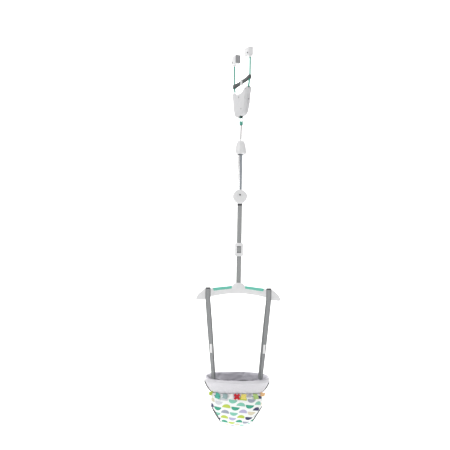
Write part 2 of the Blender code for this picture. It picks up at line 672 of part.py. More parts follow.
def pouch_half(z):
    """Half widths of the pouch at a height."""
    for (top, rx0, ry0), (low, rx1, ry1) in zip(POUCH_LEVELS, POUCH_LEVELS[1:]):
        if z >= low:
            share = (top - z) / (top - low)
            return rx0 + (rx1 - rx0) * share, ry0 + (ry1 - ry0) * share
    return POUCH_LEVELS[-1][1:]


def outside_pouch(point):
    rx, ry = pouch_half(point.z)
    return abs(point.x / rx) ** ROUND + abs(point.y / ry) ** ROUND > 1


def leg_edge(side, radius):
    """Points where a tube of a radius along the leg leaves the pouch."""
    direction = Vector((LEG_AXIS.x * side, LEG_AXIS.y, LEG_AXIS.z))
    centre = Vector((LEG_CENTRE.x * side, LEG_CENTRE.y, LEG_CENTRE.z))
    points = []
    for start in circle(centre - direction * 0.045, radius, direction, 28):
        low, high = 0.0, 0.135
        for _ in range(30):
            middle = (low + high) / 2
            if outside_pouch(start + direction * middle):
                high = middle
            else:
                low = middle
        points.append(start + direction * (low - 0.001))
    return points


def seat(joint):
    rim_collar(joint)
    skin = solid("seat_pouch", bowl(0.0, 0.002), POUCH, joint, 60)
    liner = solid("seat_liner", bowl(0.002 + 2 * GAP, 0.0015), COLLAR, joint, 60)
    for side in (-1, 1):
        combine(skin, leg_tool(side, LEG_RADIUS))
        combine(liner, leg_tool(side, LEG_RADIUS))
    for name, side in (("left_leg_binding", -1), ("right_leg_binding", 1)):
        tube(name, leg_edge(side, LEG_RADIUS - 0.0030), 0.0026, BINDING, joint, 2, True)
    ribbon_band(joint)


def ribbon_band(joint):
    """Strip under the front of the collar with nine play loops on it."""
    half = (POUCH_LEVELS[1][1] + 0.0022, POUCH_LEVELS[1][2] + 0.0022)
    angles = [math.radians(188 + 164 * i / 40) for i in range(41)]
    path = [(*ring_point(half, a), POUCH_TOP - 0.0045) for a in angles]
    band = solid("ribbon_band", ribbon(path, 0.0045, 0.0014, (0, 0, 1)), RIBBON, joint)
    tabs = bmesh.new()
    for k in range(9):
        angle = math.radians(192 + 156 * k / 8)
        x, y = ring_point((half[0] + 0.0032, half[1] + 0.0032), angle)
        shape = Matrix.Translation((x, y, POUCH_TOP - 0.0125))
        shape = shape @ Matrix.Rotation(math.atan2(y, x), 4, "Z")
        shape = shape @ Matrix.Diagonal((0.0062, 0.020, 0.019, 1))
        bmesh.ops.create_cube(tabs, size=1.0, matrix=shape)
    combine(band, tabs, "UNION")


def strap_end(side, front, x_target, half, z):
    """Point and tangent on the inside of the rim, where a strap leg is sewn in."""
    best = min((math.radians(a) for a in range(1, 90)),
               key=lambda a: abs(ring_point(half, a)[0] - x_target))
    x, y = ring_point(half, best)
    x2, y2 = ring_point(half, best + 0.02)
    flip = -1 if front else 1
    tangent = Vector(((x - x2) * side, (y - y2) * flip, 0)).normalized()
    return Vector((side * x, flip * y, z)), tangent * side


def seat_straps(joint):
    for name, side in (("left_strap", -1), ("right_strap", 1)):
        x = side * STRAP_X
        inner = (RIM_HALF[0] - 0.0255, RIM_HALF[1] - 0.0240)
        front, front_across = strap_end(side, True, 0.104, inner, -1.432)
        back, back_across = strap_end(side, False, 0.102, inner, -1.424)
        over = [Vector((x, -y, z)) for y, z in arc((0, SEAT_AXIS_Z), STRAP_ARC, 0, 180, 12)]
        flat = Vector((1, 0, 0))
        shares = [i / LEG_STEPS for i in range(LEG_STEPS)]
        front_leg = [front.lerp(over[0], share) for share in shares]
        back_leg = [back.lerp(over[-1], share) for share in reversed(shares)]
        across = [front_across.lerp(flat, share) for share in shares] + [flat] * len(over)
        across += [back_across.lerp(flat, share) for share in reversed(shares)]
        solid(name, ribbon(front_leg + over + back_leg, STRAP_HALF, STRAP_THICK, across), WEBBING,
              joint)
        run = over[0] - front
        heights = [(z - front.z) / run.z for z in TAG_Z]
        turn = front_across.lerp(flat, sum(heights) / 2)
        out = run.cross(turn).normalized()
        out *= -math.copysign(STRAP_THICK / 2 + TAG_THICK / 2 + 2 * GAP, out.y)
        low, high = [front + run * share + out for share in heights]
        tag_name = "left_tag" if side < 0 else "right_tag"
        solid(tag_name, ribbon([low, high], 0.005, TAG_THICK, turn), TAG, joint)


# ---------------------------------------------------------------- assembly
def build():
    clear_scene()
    clamp = empty("clamp_frame", turn=TURN)
    housing(empty("housing_origin", parent=clamp))
    arm("near", -1, empty("near_arm_pivot", (0, -PIVOT_Y, PIVOT_Z), clamp))
    arm("far", 1, empty("far_arm_pivot", (0, PIVOT_Y, PIVOT_Z), clamp))
    draw_gear(empty("shank_slide", (0, 0, DRAW_PIN_Z), clamp))
    snap_hook(empty("hook_pivot", (0, 0, EYE_Z), clamp),
              empty("gate_pivot", (HOOK_HALF, 0, BARREL_TOP), clamp))
    hanger(empty("cord_pivot", (0, 0, CORD_TOP)))
    bell(empty("bell_swivel", (0, 0, BELL_TOP)))
    stretch = empty("spring_stretch", (0, 0, LOWER_ANCHOR_Z))
    spring(stretch)
    disc(stretch)
    upper_webbing(stretch)
    height = empty("slider_travel", (0, 0, SLIDER_TOP))
    slider(height)
    lower_webbing(height)
    spreader_bar(empty("bar_travel", (0, 0, HUB_TOP)))
    swing = empty("seat_swing", (0, 0, SEAT_AXIS_Z))
    seat_straps(swing)
    seat(swing)


build()
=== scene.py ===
"""Looks of the doorway activity jumper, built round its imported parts. Metres, +Z up."""
from math import atan2, copysign, cos, dist, hypot, pi, radians, sin, tan

import bmesh
import bpy
from mathutils import Matrix, Vector, noise


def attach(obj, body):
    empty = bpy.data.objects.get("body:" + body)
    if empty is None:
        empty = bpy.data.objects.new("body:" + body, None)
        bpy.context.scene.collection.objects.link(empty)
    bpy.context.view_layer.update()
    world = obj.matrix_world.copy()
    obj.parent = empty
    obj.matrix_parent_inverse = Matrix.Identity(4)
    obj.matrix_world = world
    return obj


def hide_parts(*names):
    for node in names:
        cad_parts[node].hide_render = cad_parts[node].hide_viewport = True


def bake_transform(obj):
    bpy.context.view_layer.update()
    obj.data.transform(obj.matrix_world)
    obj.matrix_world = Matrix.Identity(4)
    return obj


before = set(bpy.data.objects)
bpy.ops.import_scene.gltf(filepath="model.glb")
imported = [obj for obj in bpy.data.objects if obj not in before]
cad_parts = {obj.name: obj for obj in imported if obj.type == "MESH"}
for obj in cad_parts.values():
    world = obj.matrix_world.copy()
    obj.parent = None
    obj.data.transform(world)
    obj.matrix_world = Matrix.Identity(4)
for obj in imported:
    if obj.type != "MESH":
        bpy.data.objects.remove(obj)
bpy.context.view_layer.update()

# ---------------------------------------------------------------- sizes shared with the CAD
GAP = 0.0003
CLAMP = Matrix.Rotation(radians(20), 4, "Z")     # the clamp's own frame
HALF_WALL, BLOCK_END, BLOCK_HALF_X, BLOCK_HEIGHT, PAD_THICK = 0.050, 0.104, 0.012, 0.040, 0.004
ROD_RADIUS, ROD_Y, ROD_TOP, BEND_Z = 0.004, 0.0975, 0.018, -0.084
PIVOT_Y, PIVOT_Z, PIN_RADIUS, HUB_RADIUS = 0.081, -0.141, 0.003, 0.0075
HOUSING_HALF, HOUSING_EDGE, HOUSING_MID_Z, WALL = 0.0135, 0.0064, -0.190, 0.0025
STRAP_MID_Z = -0.097
HOOK_BOW_Z, HOOK_HALF, BARREL_TOP, BARREL_BOTTOM = -0.2572, 0.0065, -0.2705, -0.287
CORD_TOP, CORD_RADIUS, FERRULE_TOP = -0.2813, 0.00325, -0.3578
ANCHOR_Z, LOWER_ANCHOR_Z = -0.401, -0.588
DISC_Z, DISC_RADIUS, DISC_SCREW_Z, ROLLER_Z = -0.6055, 0.0325, -0.599, -0.618
WEB_HALF, WEB_THICK = 0.0105, 0.0014
SLIDER_TOP, SLIDER_BOTTOM, SLIDER_HALF = -0.812, -0.872, 0.019
HUB_TOP, HUB_PIN_Z, SADDLE_Z, BAR_HALF_Y = -0.990, -1.006, -1.0150, 0.0145
STRAP_X, STRAP_HALF, STRAP_THICK = 0.135, 0.011, 0.0020
RIM_Z, RIM_TILT, RIM_HALF, ROUND = -1.407, 0.08, (0.141, 0.115), 2.5
BAND_Z = -1.4795


# ---------------------------------------------------------------- materials
class Recipe:
    """Material under construction."""

    def __init__(self, name, colour, roughness, metallic=0.0):
        self.material = bpy.data.materials.new(name)
        self.material.use_nodes = True
        self.tree = self.material.node_tree
        self.shader = self.tree.nodes["Principled BSDF"]
        self.colour = colour
        self.put(self.shader.inputs["Base Color"], (*colour, 1.0))
        self.put(self.shader.inputs["Roughness"], roughness)
        self.put(self.shader.inputs["Metallic"], metallic)

    def put(self, socket, value):
        if isinstance(value, bpy.types.NodeSocket):
            self.tree.links.new(value, socket)
        else:
            socket.default_value = value

    def node(self, kind, inputs=(), **settings):
        made = self.tree.nodes.new("ShaderNode" + kind)
        for key, value in settings.items():
            setattr(made, key, value)
        for key, value in dict(inputs).items():
            self.put(made.inputs[key], value)
        return made

    def math(self, operation, *values):
        made = self.node("Math", operation=operation)
        for socket, value in zip(made.inputs, values):
            self.put(socket, value)
        return made.outputs[0]

    def place(self, kind):
        return self.node("TexCoord").outputs[kind]

    def uv(self):
        return self.node("SeparateXYZ", {"Vector": self.place("UV")}).outputs

    def noise(self, scale, detail=2.0):
        return self.node("TexNoise", {"Vector": self.place("Object"), "Scale": scale,
                                      "Detail": detail}).outputs["Fac"]

    def blend(self, share, low, high, kind="MIX"):
        """Colour between two, by a share from 0 to 1."""
        made = self.node("Mix", data_type="RGBA", blend_type=kind)
        for socket, value in zip((made.inputs[0], made.inputs[6], made.inputs[7]),
                                 (share, low, high)):
            self.put(socket, (*value, 1.0) if isinstance(value, tuple) else value)
        return made.outputs[2]

    def range(self, value, low, high, to_low=0.0, to_high=1.0):
        return self.node("MapRange", {"Value": value, "From Min": low, "From Max": high,
                                      "To Min": to_low, "To Max": to_high}).outputs[0]

    def bump(self, height, strength, distance):
        made = self.node("Bump", {"Height": height, "Strength": strength, "Distance": distance})
        self.put(self.shader.inputs["Normal"], made.outputs[0])

    def paint(self, colour):
        self.put(self.shader.inputs["Base Color"], colour)

    def wear(self, roughness, spread=0.07, shade=0.94):
        """Cloudy roughness and colour, so that no face is one flat value."""
        cloud = self.noise(38.0, 4.0)
        self.put(self.shader.inputs["Roughness"],
                 self.range(cloud, 0.3, 0.7, roughness - spread, roughness + spread))
        dark = tuple(c * shade for c in self.colour)
        self.paint(self.blend(self.range(cloud, 0.35, 0.65), dark, self.colour))

    def weave(self, pitch, along=0.8):
        """Plain weave in UV metres: 0 in the hollows, 1 on the crowns."""
        place = self.uv()
        warp = self.math("SINE", self.math("MULTIPLY", place[0], 2 * pi / pitch))
        weft = self.math("SINE", self.math("MULTIPLY", place[1], 2 * pi / (pitch * along)))
        return self.math("MULTIPLY_ADD", self.math("MULTIPLY", warp, weft), 0.5, 0.5)


def plastic(name, colour, roughness, grain=1500.0):
    made = Recipe(name, colour, roughness)
    made.wear(roughness)
    made.bump(made.noise(grain), 0.12, 0.0002)
    return made.material


def metal(name, colour, roughness, stretch=(1, 1, 1)):
    """Drawn or turned metal: fine scratches along one way."""
    made = Recipe(name, colour, roughness, 1.0)
    place = made.node("Mapping", {"Vector": made.place("Object"), "Scale": stretch}).outputs[0]
    scratch = made.node("TexNoise", {"Vector": place, "Scale": 900.0, "Detail": 3.0}).outputs["Fac"]
    made.wear(roughness, 0.1, 0.85)
    made.bump(scratch, 0.15, 0.0001)
    return made.material


def rubber(name, colour):
    made = Recipe(name, colour, 0.8)
    made.wear(0.8, 0.08, 0.85)
    dots = made.node("TexVoronoi", {"Vector": made.place("Object"), "Scale": 700.0})
    made.bump(dots.outputs["Distance"], 0.5, 0.0003)
    return made.material


def cloth(name, colour, pitch=0.0011, shade=0.82, depth=0.00025, along=0.8, cloud=0.94):
    """Woven fabric, with UV in metres."""
    made = Recipe(name, colour, 0.88)
    weave = made.weave(pitch, along)
    dark = tuple(c * shade for c in colour)
    clouds = made.range(made.noise(30.0, 4.0), 0.3, 0.7, cloud, 1.0)
    made.paint(made.blend(1.0, made.blend(weave, dark, colour), clouds, "MULTIPLY"))
    made.put(made.shader.inputs["Sheen Weight"], 0.25)
    made.bump(weave, 0.6, depth)
    return made.material


def webbing(name, colour, edge, half_width, pitch=0.0017):
    """Strap webbing with painted shade darkening both edges. U is metres from the middle of the
    strap.
    """
    made = Recipe(name, colour, 0.85)
    place = made.uv()
    weave = made.weave(pitch, 0.7)
    out = made.math("DIVIDE", made.math("ABSOLUTE", place[0]), half_width)
    # Painted shade: the outer edges of the strap are darkened toward the edge colour.
    rim = made.range(out, 0.70, 0.86)
    dark = tuple(c * 0.72 for c in colour)
    made.paint(made.blend(rim, made.blend(weave, dark, colour), edge))
    made.bump(weave, 0.7, 0.0004)
    return made.material


def braid(name, colour, fleck, pitch=0.0022):
    """Braided cord: two crossing sets of strands."""
    made = Recipe(name, colour, 0.8)
    place = made.uv()
    turn = 2 * pi / pitch
    one = made.math("SINE", made.math("MULTIPLY", made.math("ADD", place[0], place[1]), turn))
    two = made.math("SINE", made.math("MULTIPLY", made.math("SUBTRACT", place[0], place[1]), turn))
    height = made.math("MULTIPLY_ADD", made.math("MAXIMUM", one, two), 0.5, 0.5)
    made.paint(made.blend(made.range(height, 0.75, 1.0), colour, fleck))
    made.bump(height, 0.9, 0.0005)
    return made.material


MINT, TEAL, LIME, GREY, LAVENDER, NAVY, PALE, BEIGE = (
    (0.22, 0.55, 0.42), (0.05, 0.35, 0.23), (0.48, 0.60, 0.09), (0.32, 0.36, 0.43),
    (0.45, 0.43, 0.62), (0.05, 0.055, 0.13), (0.62, 0.64, 0.66), (0.66, 0.60, 0.45))
PRINT = [LAVENDER, LIME, GREY, MINT, BEIGE,
         MINT, MINT, TEAL, NAVY, PALE,
         TEAL, LAVENDER, BEIGE, PALE, LIME,
         MINT, LIME, NAVY, TEAL, GREY,
         LAVENDER, TEAL, GREY, MINT, LIME,
         LIME, BEIGE, MINT, NAVY, TEAL]
PRINT_COLUMNS = 5
PRINT_SLOPE = radians(16)
PRINT_PITCH = 0.0395                # from one half disc to the next in a row
PRINT_ROW = 0.028                   # from one row to the next
PRINT_TOP = 0.004
PRINT_DRIFT = 0.28                  # sideways step of the columns from row to row
PRINT_LEVEL = 0.20                  # how far the straight edges are turned back to level
HALF_DISC = 0.0188                  # half width
HALF_DISC_SQUASH = 1.10             # half width over height
HALF_DISC_LIFT = 0.0085             # from the middle of a row to the straight edge


def half_disc_print(name, ground):
    """White cloth printed with sloping rows of half discs, arch up and arch down in turn."""
    made = Recipe(name, ground, 0.88)
    place = made.uv()
    up = made.math("ADD", made.math("MULTIPLY", place[0], tan(PRINT_SLOPE)), place[1])
    along = made.math("SUBTRACT", place[0], made.math("MULTIPLY", up, PRINT_DRIFT))
    rows = made.math("DIVIDE", made.math("SUBTRACT", PRINT_TOP, up), PRINT_ROW)
    row = made.math("FLOOR", rows)
    shift = made.math("MULTIPLY", made.math("LESS_THAN", row, 1.5), PRINT_PITCH / 2)
    columns = made.math("DIVIDE", made.math("ADD", along, made.math(
        "ADD", shift, 0.00875)), PRINT_PITCH)
    column = made.math("FLOOR", columns)
    x = made.math("MULTIPLY", made.math("SUBTRACT", made.math("FRACT", columns), 0.5), PRINT_PITCH)
    y = made.math("MULTIPLY", made.math("SUBTRACT", 0.5, made.math("FRACT", rows)), PRINT_ROW)
    y = made.math("SUBTRACT", y, made.math("MULTIPLY", x, PRINT_LEVEL))
    bowl = made.math("SUBTRACT", 1.0, made.math("FLOORED_MODULO", column, 2.0))
    flip = made.math("MULTIPLY_ADD", bowl, -2.0, 1.0)
    lift = made.math("MULTIPLY", made.math("ADD", made.math("MULTIPLY", y, flip),
                                           HALF_DISC_LIFT), HALF_DISC_SQUASH)
    reach = made.math("SQRT", made.math("ADD", made.math("MULTIPLY", x, x),
                                        made.math("MULTIPLY", lift, lift)))
    inside = made.math("MULTIPLY", made.math("LESS_THAN", reach, HALF_DISC),
                       made.math("GREATER_THAN", lift, 0.0))
    cell = made.math("ADD", made.math("MULTIPLY", made.math("FLOORED_MODULO", row, 6.0),
                                      float(PRINT_COLUMNS)),
                     made.math("FLOORED_MODULO", column, float(PRINT_COLUMNS)))
    ramp = made.node("ValToRGB", {"Fac": made.math("DIVIDE", made.math("ADD", cell, 0.5),
                                                   float(len(PRINT)))})
    ramp.color_ramp.interpolation = "CONSTANT"
    stops = ramp.color_ramp.elements
    while len(stops) < len(PRINT):
        stops.new(1.0)
    for i, colour in enumerate(PRINT):
        stops[i].position = i / len(PRINT)
        stops[i].color = (*colour, 1.0)
    weave = made.weave(0.0009)
    printed = made.blend(inside, ground, ramp.outputs[0])
    made.paint(made.blend(1.0, printed, made.range(weave, 0.0, 1.0, 0.93, 1.0), "MULTIPLY"))
    made.bump(weave, 0.5, 0.0002)
    return made.material


def striped(name, one, two, width=0.006):
    """Ribbon with diagonal stripes."""
    made = Recipe(name, one, 0.6)
    place = made.uv()
    band = made.math("FRACT", made.math("DIVIDE", made.math("ADD", place[0], place[1]), width))
    made.paint(made.blend(made.math("GREATER_THAN", band, 0.5), one, two))
    made.bump(made.weave(0.0007), 0.5, 0.0002)
    return made.material


SHELL = plastic("shell_plastic", (0.54, 0.54, 0.55), 0.34)
WHITE = plastic("white_moulding", (0.71, 0.71, 0.715), 0.32)
TEAL_PAINT = plastic("teal_coating", (0.07, 0.33, 0.25), 0.38, 2200.0)
TEAL_GRIP = plastic("teal_soft_grip", (0.14, 0.52, 0.41), 0.55, 900.0)
STEEL = metal("bright_steel", (0.60, 0.61, 0.62), 0.30, (6, 6, 0.5))
BLACK_STEEL = metal("blackened_steel", (0.05, 0.05, 0.055), 0.42)
PAD_RUBBER = rubber("grey_rubber", (0.36, 0.36, 0.37))
# The second colour of each webbing is the painted shade along its edges.
SAFETY_WEB = webbing("safety_webbing", (0.09, 0.10, 0.10), (0.04, 0.04, 0.045), 0.0085)
PIN_METAL = metal("grey_pin_metal", (0.24, 0.24, 0.25), 0.45)
WEB = webbing("grey_webbing", (0.36, 0.37, 0.37), (0.17, 0.175, 0.18), WEB_HALF)
STRAP_WEB = webbing("seat_webbing", (0.33, 0.34, 0.345), (0.13, 0.135, 0.14), STRAP_HALF)
DARK_WEB = webbing("dark_webbing", (0.055, 0.06, 0.065), (0.03, 0.03, 0.035), 0.010)
DARK_CLOTH = cloth("dark_tape", (0.035, 0.035, 0.04), 0.0012)
SLEEVE = cloth("sleeve_cloth", (0.34, 0.37, 0.40), 0.0010, 0.8)
COLLAR = cloth("collar_cloth", (0.66, 0.65, 0.68), 0.0010, 0.9, 0.0002, cloud=0.96)
# Grey lining cloth, darker than the collar cloth as painted shade inside the seat.
SHADED_LINING = cloth("shaded_lining_cloth", (0.42, 0.41, 0.45), 0.0010, 0.88, 0.0002)
BINDING = cloth("black_binding", (0.022, 0.022, 0.025), 0.0012, 0.6)
PRINTED = half_disc_print("printed_cloth", (0.86, 0.88, 0.87))
CORD = braid("braided_cord", (0.06, 0.055, 0.06), (0.16, 0.13, 0.14))
TAG = cloth("tag_satin", (0.86, 0.86, 0.86), 0.0006, 0.92, 0.0001)


# ---------------------------------------------------------------- mesh helpers
def skin(rings, closed=False):
    """Mesh through rings of equal count, with UV in metres: U round the ring, V along."""
    bm = bmesh.new()
    layer = bm.loops.layers.uv.new("UVMap")
    loops = [[bm.verts.new(point) for point in ring] for ring in rings]
    count, widest = len(rings[0]), max(rings, key=lambda ring: Vector(ring[0]).xy.length)
    around, along = [0.0], [0.0]
    for j in range(count):
        around.append(around[-1] + (Vector(widest[(j + 1) % count]) - Vector(widest[j])).length)
    for low, high in zip(rings, rings[1:] + rings[:1]):
        along.append(along[-1] + (Vector(high[0]) - Vector(low[0])).length)
    for i in range(len(rings) if closed else len(rings) - 1):
        low, high = loops[i], loops[(i + 1) % len(loops)]
        for j in range(count):
            k = (j + 1) % count
            face = bm.faces.new((low[j], low[k], high[k], high[j]))
            places = ((j, i), (j + 1, i), (j + 1, i + 1), (j, i + 1))
            for corner, (a, b) in zip(face.loops, places):
                corner[layer].uv = (around[a], along[b])
    if not closed:
        bm.faces.new(loops[0])
        bm.faces.new(loops[-1])
    return bm


def link(name, bm, angle=35):
    bmesh.ops.recalc_face_normals(bm, faces=bm.faces)
    mesh = bpy.data.meshes.new(name)
    bm.to_mesh(mesh)
    bm.free()
    mesh.shade_smooth()
    mesh.set_sharp_from_angle(angle=radians(angle))
    made = bpy.data.objects.new(name, mesh)
    bpy.context.scene.collection.objects.link(made)
    return made


def settle(piece, angle=None):
    """Make the result of a piece's modifiers its mesh."""
    graph = bpy.context.evaluated_depsgraph_get()
    result = bpy.data.meshes.new_from_object(piece.evaluated_get(graph))
    piece.modifiers.clear()
    piece.data = result
    if angle:
        result.shade_smooth()
        result.set_sharp_from_angle(angle=radians(angle))


def combine(piece, bm, operation="DIFFERENCE"):
    """Cut a shape from a piece, or join one to it."""
    tool = link("tool", bm)
    step = piece.modifiers.new("combine", "BOOLEAN")
    step.operation, step.solver, step.object = operation, "EXACT", tool
    settle(piece)
    bpy.data.objects.remove(tool)


def bevel(piece, width, segments=3, angle=35):
    step = piece.modifiers.new("bevel", "BEVEL")
    step.width, step.segments, step.limit_method = width, segments, "ANGLE"
    step.angle_limit = radians(angle)
    settle(piece, 50)


def finish(piece, body, material, slot, *nodes):
    """Give a piece its material and body, and hide the CAD nodes that it stands for. The slot is
    not used.
    """
    piece.data.materials.clear()
    piece.data.materials.append(material)
    if nodes:
        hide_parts(*nodes)
    if isinstance(body, str):
        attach(piece, body)
    else:
        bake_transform(piece)
    return piece


def finish_in_clamp(piece, *rest):
    """Finish a piece that was drawn in the clamp's own frame."""
    piece.data.transform(CLAMP)
    return finish(piece, *rest)


def box(low, high):
    floor = [(low[0], low[1]), (high[0], low[1]), (high[0], high[1]), (low[0], high[1])]
    return skin([[(x, y, z) for x, y in floor] for z in (low[2], high[2])])


LEFT_RIGHT = (("left", -1), ("right", 1))
FRONT_REAR = (("front", -1), ("rear", 1))
AXES = {"X": Vector((1, 0, 0)), "Y": Vector((0, 1, 0)), "Z": Vector((0, 0, 1))}


def circle(centre, radius, axis, sides=32):
    normal = AXES[axis] if isinstance(axis, str) else axis
    turn = normal.to_track_quat("Z", "Y")
    return [Vector(centre) + turn @ Vector((radius * cos(a), radius * sin(a), 0))
            for a in (2 * pi * i / sides for i in range(sides))]


def rod(start, end, radius, axis, sides=32):
    return skin([circle(start, radius, axis, sides), circle(end, radius, axis, sides)])


def turned(profile, centre, axis, sides=64):
    """Solid of revolution from (radius, height along the axis) pairs."""
    return skin([circle(Vector(centre) + AXES[axis] * h, r, axis, sides) for r, h in profile])


def curve(points, steps=4, closed=False):
    """Smooth line through points (Catmull-Rom)."""
    points = [Vector(p) for p in points]
    count = len(points)
    made = []
    for i in range(count if closed else count - 1):
        four = [points[(i + k) % count] if closed else points[min(max(i + k, 0), count - 1)]
                for k in (-1, 0, 1, 2)]
        for s in range(steps):
            t = s / steps
            made.append(0.5 * (2 * four[1] + (four[2] - four[0]) * t
                               + (2 * four[0] - 5 * four[1] + 4 * four[2] - four[3]) * t ** 2
                               + (3 * four[1] - four[0] - 3 * four[2] + four[3]) * t ** 3))
    return made if closed else made + [points[-1]]


def curve_pairs(pairs, steps=5, closed=False):
    return [(p.x, p.y) for p in curve([(a, b, 0) for a, b in pairs], steps, closed)]


def rounded(corners, steps=8):
    """Outline through (u, v, radius) corners, each turned into an arc."""
    points = []
    for i, (u, v, radius) in enumerate(corners):
        here = Vector((u, v))
        before = (Vector(corners[i - 1][:2]) - here).normalized()
        after = (Vector(corners[(i + 1) % len(corners)][:2]) - here).normalized()
        half = before.angle(after) / 2
        centre = here + (before + after).normalized() * (radius / sin(half))
        reach = radius / tan(half)
        start, end = here + before * reach - centre, here + after * reach - centre
        points += [centre + start.lerp(end, k / steps).normalized() * radius
                   for k in range(steps + 1)]
    return points


def rectangle(half, low, high, radius, steps=8):
    corners = ((-half, low), (half, low), (half, high), (-half, high))
    return rounded([(u, v, radius) for u, v in corners], steps)


def inset(points, distance):
    """Outline moved inward by a distance. Its points run counter-clockwise."""
    moved = []
    for i, here in enumerate(points):
        before = (here - points[i - 1]).normalized()
        after = (points[(i + 1) % len(points)] - here).normalized()
        along = (before + after).normalized()
        moved.append(here + Vector((-along.y, along.x)) * distance / max(0.5, along.dot(after)))
    return moved


def mirrored(half):
    return [(-u, v, r) for u, v, r in half] + half[::-1]


def prism(outline, axis, low, high):
    if axis == "X":
        return skin([[(depth, p[0], p[1]) for p in outline] for depth in (low, high)])
    return skin([[(p[0], depth, p[1]) for p in outline] for depth in (low, high)])


def tangents(path, closed=False):
    """Way along a path at each of its points."""
    last = len(path) - 1
    if closed:
        return [(path[(i + 1) % len(path)] - path[i - 1]).normalized() for i in range(last + 1)]
    return [(path[min(i + 1, last)] - path[max(i - 1, 0)]).normalized() for i in range(last + 1)]


def sweep(path, radius, sides=24, closed=False):
    """Round bar along a path. The radius is one number, or one for each point."""
    path = [Vector(p) for p in path]
    radii = radius if isinstance(radius, list) else [radius] * len(path)
    ways = tangents(path, closed)
    side = ways[0].orthogonal().normalized()
    loops = []
    for point, along, r in zip(path, ways, radii):
        side = (side - along * side.dot(along)).normalized()
        up = along.cross(side)
        loops.append([point + (side * cos(a) + up * sin(a)) * r
                      for a in (2 * pi * k / sides for k in range(sides))])
    return skin(loops, closed)


def ribbon(path, half_width, thickness, across=(1, 0, 0), cup=0.0):
    """Strap along a path, with soft edges. U is metres from the middle, V metres along."""
    path = [Vector(p) for p in path]
    widths = across if isinstance(across, list) else [across] * len(path)
    soft = thickness / 2
    profile = [(half_width - soft + soft * sin(angle), soft * cos(angle))
               for angle in (pi / 2 * (k / 3) for k in range(4))]
    top = [(-u, v) for u, v in reversed(profile)] + [(0.0, soft)] + profile
    outline = top + [(u, -v) for u, v in reversed(top)][1:-1]
    bm = bmesh.new()
    layer = bm.loops.layers.uv.new("UVMap")
    rings, along_v = [], [0.0]
    for i, (point, along) in enumerate(zip(path, tangents(path))):
        side = Vector(widths[i])
        side = (side - along * side.dot(along)).normalized()
        out = along.cross(side)
        bend = [cup * (u / half_width) ** 2 for u, _ in outline]
        rings.append([bm.verts.new(point + side * u + out * (v + b))
                      for (u, v), b in zip(outline, bend)])
        if i:
            along_v.append(along_v[-1] + (point - path[i - 1]).length)
    for i, (low, high) in enumerate(zip(rings, rings[1:])):
        for j in range(len(outline)):
            k = (j + 1) % len(outline)
            face = bm.faces.new((low[j], low[k], high[k], high[j]))
            for corner, (a, b) in zip(face.loops, ((j, i), (k, i), (k, i + 1), (j, i + 1))):
                corner[layer].uv = (outline[a][0], along_v[b])
    bm.faces.new(rings[0])
    bm.faces.new(rings[-1])
    return bm


def arc(centre, radius, start, end, steps):
    return [(centre[0] + radius * cos(a), centre[1] + radius * sin(a))
            for a in (radians(start + (end - start) * i / steps) for i in range(steps + 1))]


def spread(point, scale, seed=0.0):
    """Smooth noise from -1 to 1 at a point, with features of about 1 / scale."""
    return noise.noise(Vector(point) * scale + Vector((seed, seed * 1.7, -seed)))


# ---------------------------------------------------------------- clamp
HOUSING_CORNERS = [(0.030, -0.146, 0.020), (0.060, -0.130, 0.014), (0.093, -0.126, 0.012),
                   (0.0920, -0.147, 0.010), (0.0820, -0.163, 0.012), (0.0770, -0.203, 0.030),
                   (0.054, -0.246, 0.026), (0.020, -0.251, 0.010)]
HOUSING_SCREWS = [(0.0, -0.1640), (-0.030, -0.2200)]              # y, z
PIN_END, PIN_CHAMFER = 0.0122, 0.0008
HOOK_SLOT = (0.0098, 0.022)         # half width in X and in Y at the bottom of the housing


def housing_ring(x, shrink_y=0.0, shrink_z=0.0):
    scale_y, scale_z = 1 - shrink_y / 0.093, 1 - shrink_z / 0.062
    return [(x, p[0] * scale_y, HOUSING_MID_Z + (p[1] - HOUSING_MID_Z) * scale_z)
            for p in rounded(mirrored(HOUSING_CORNERS))]


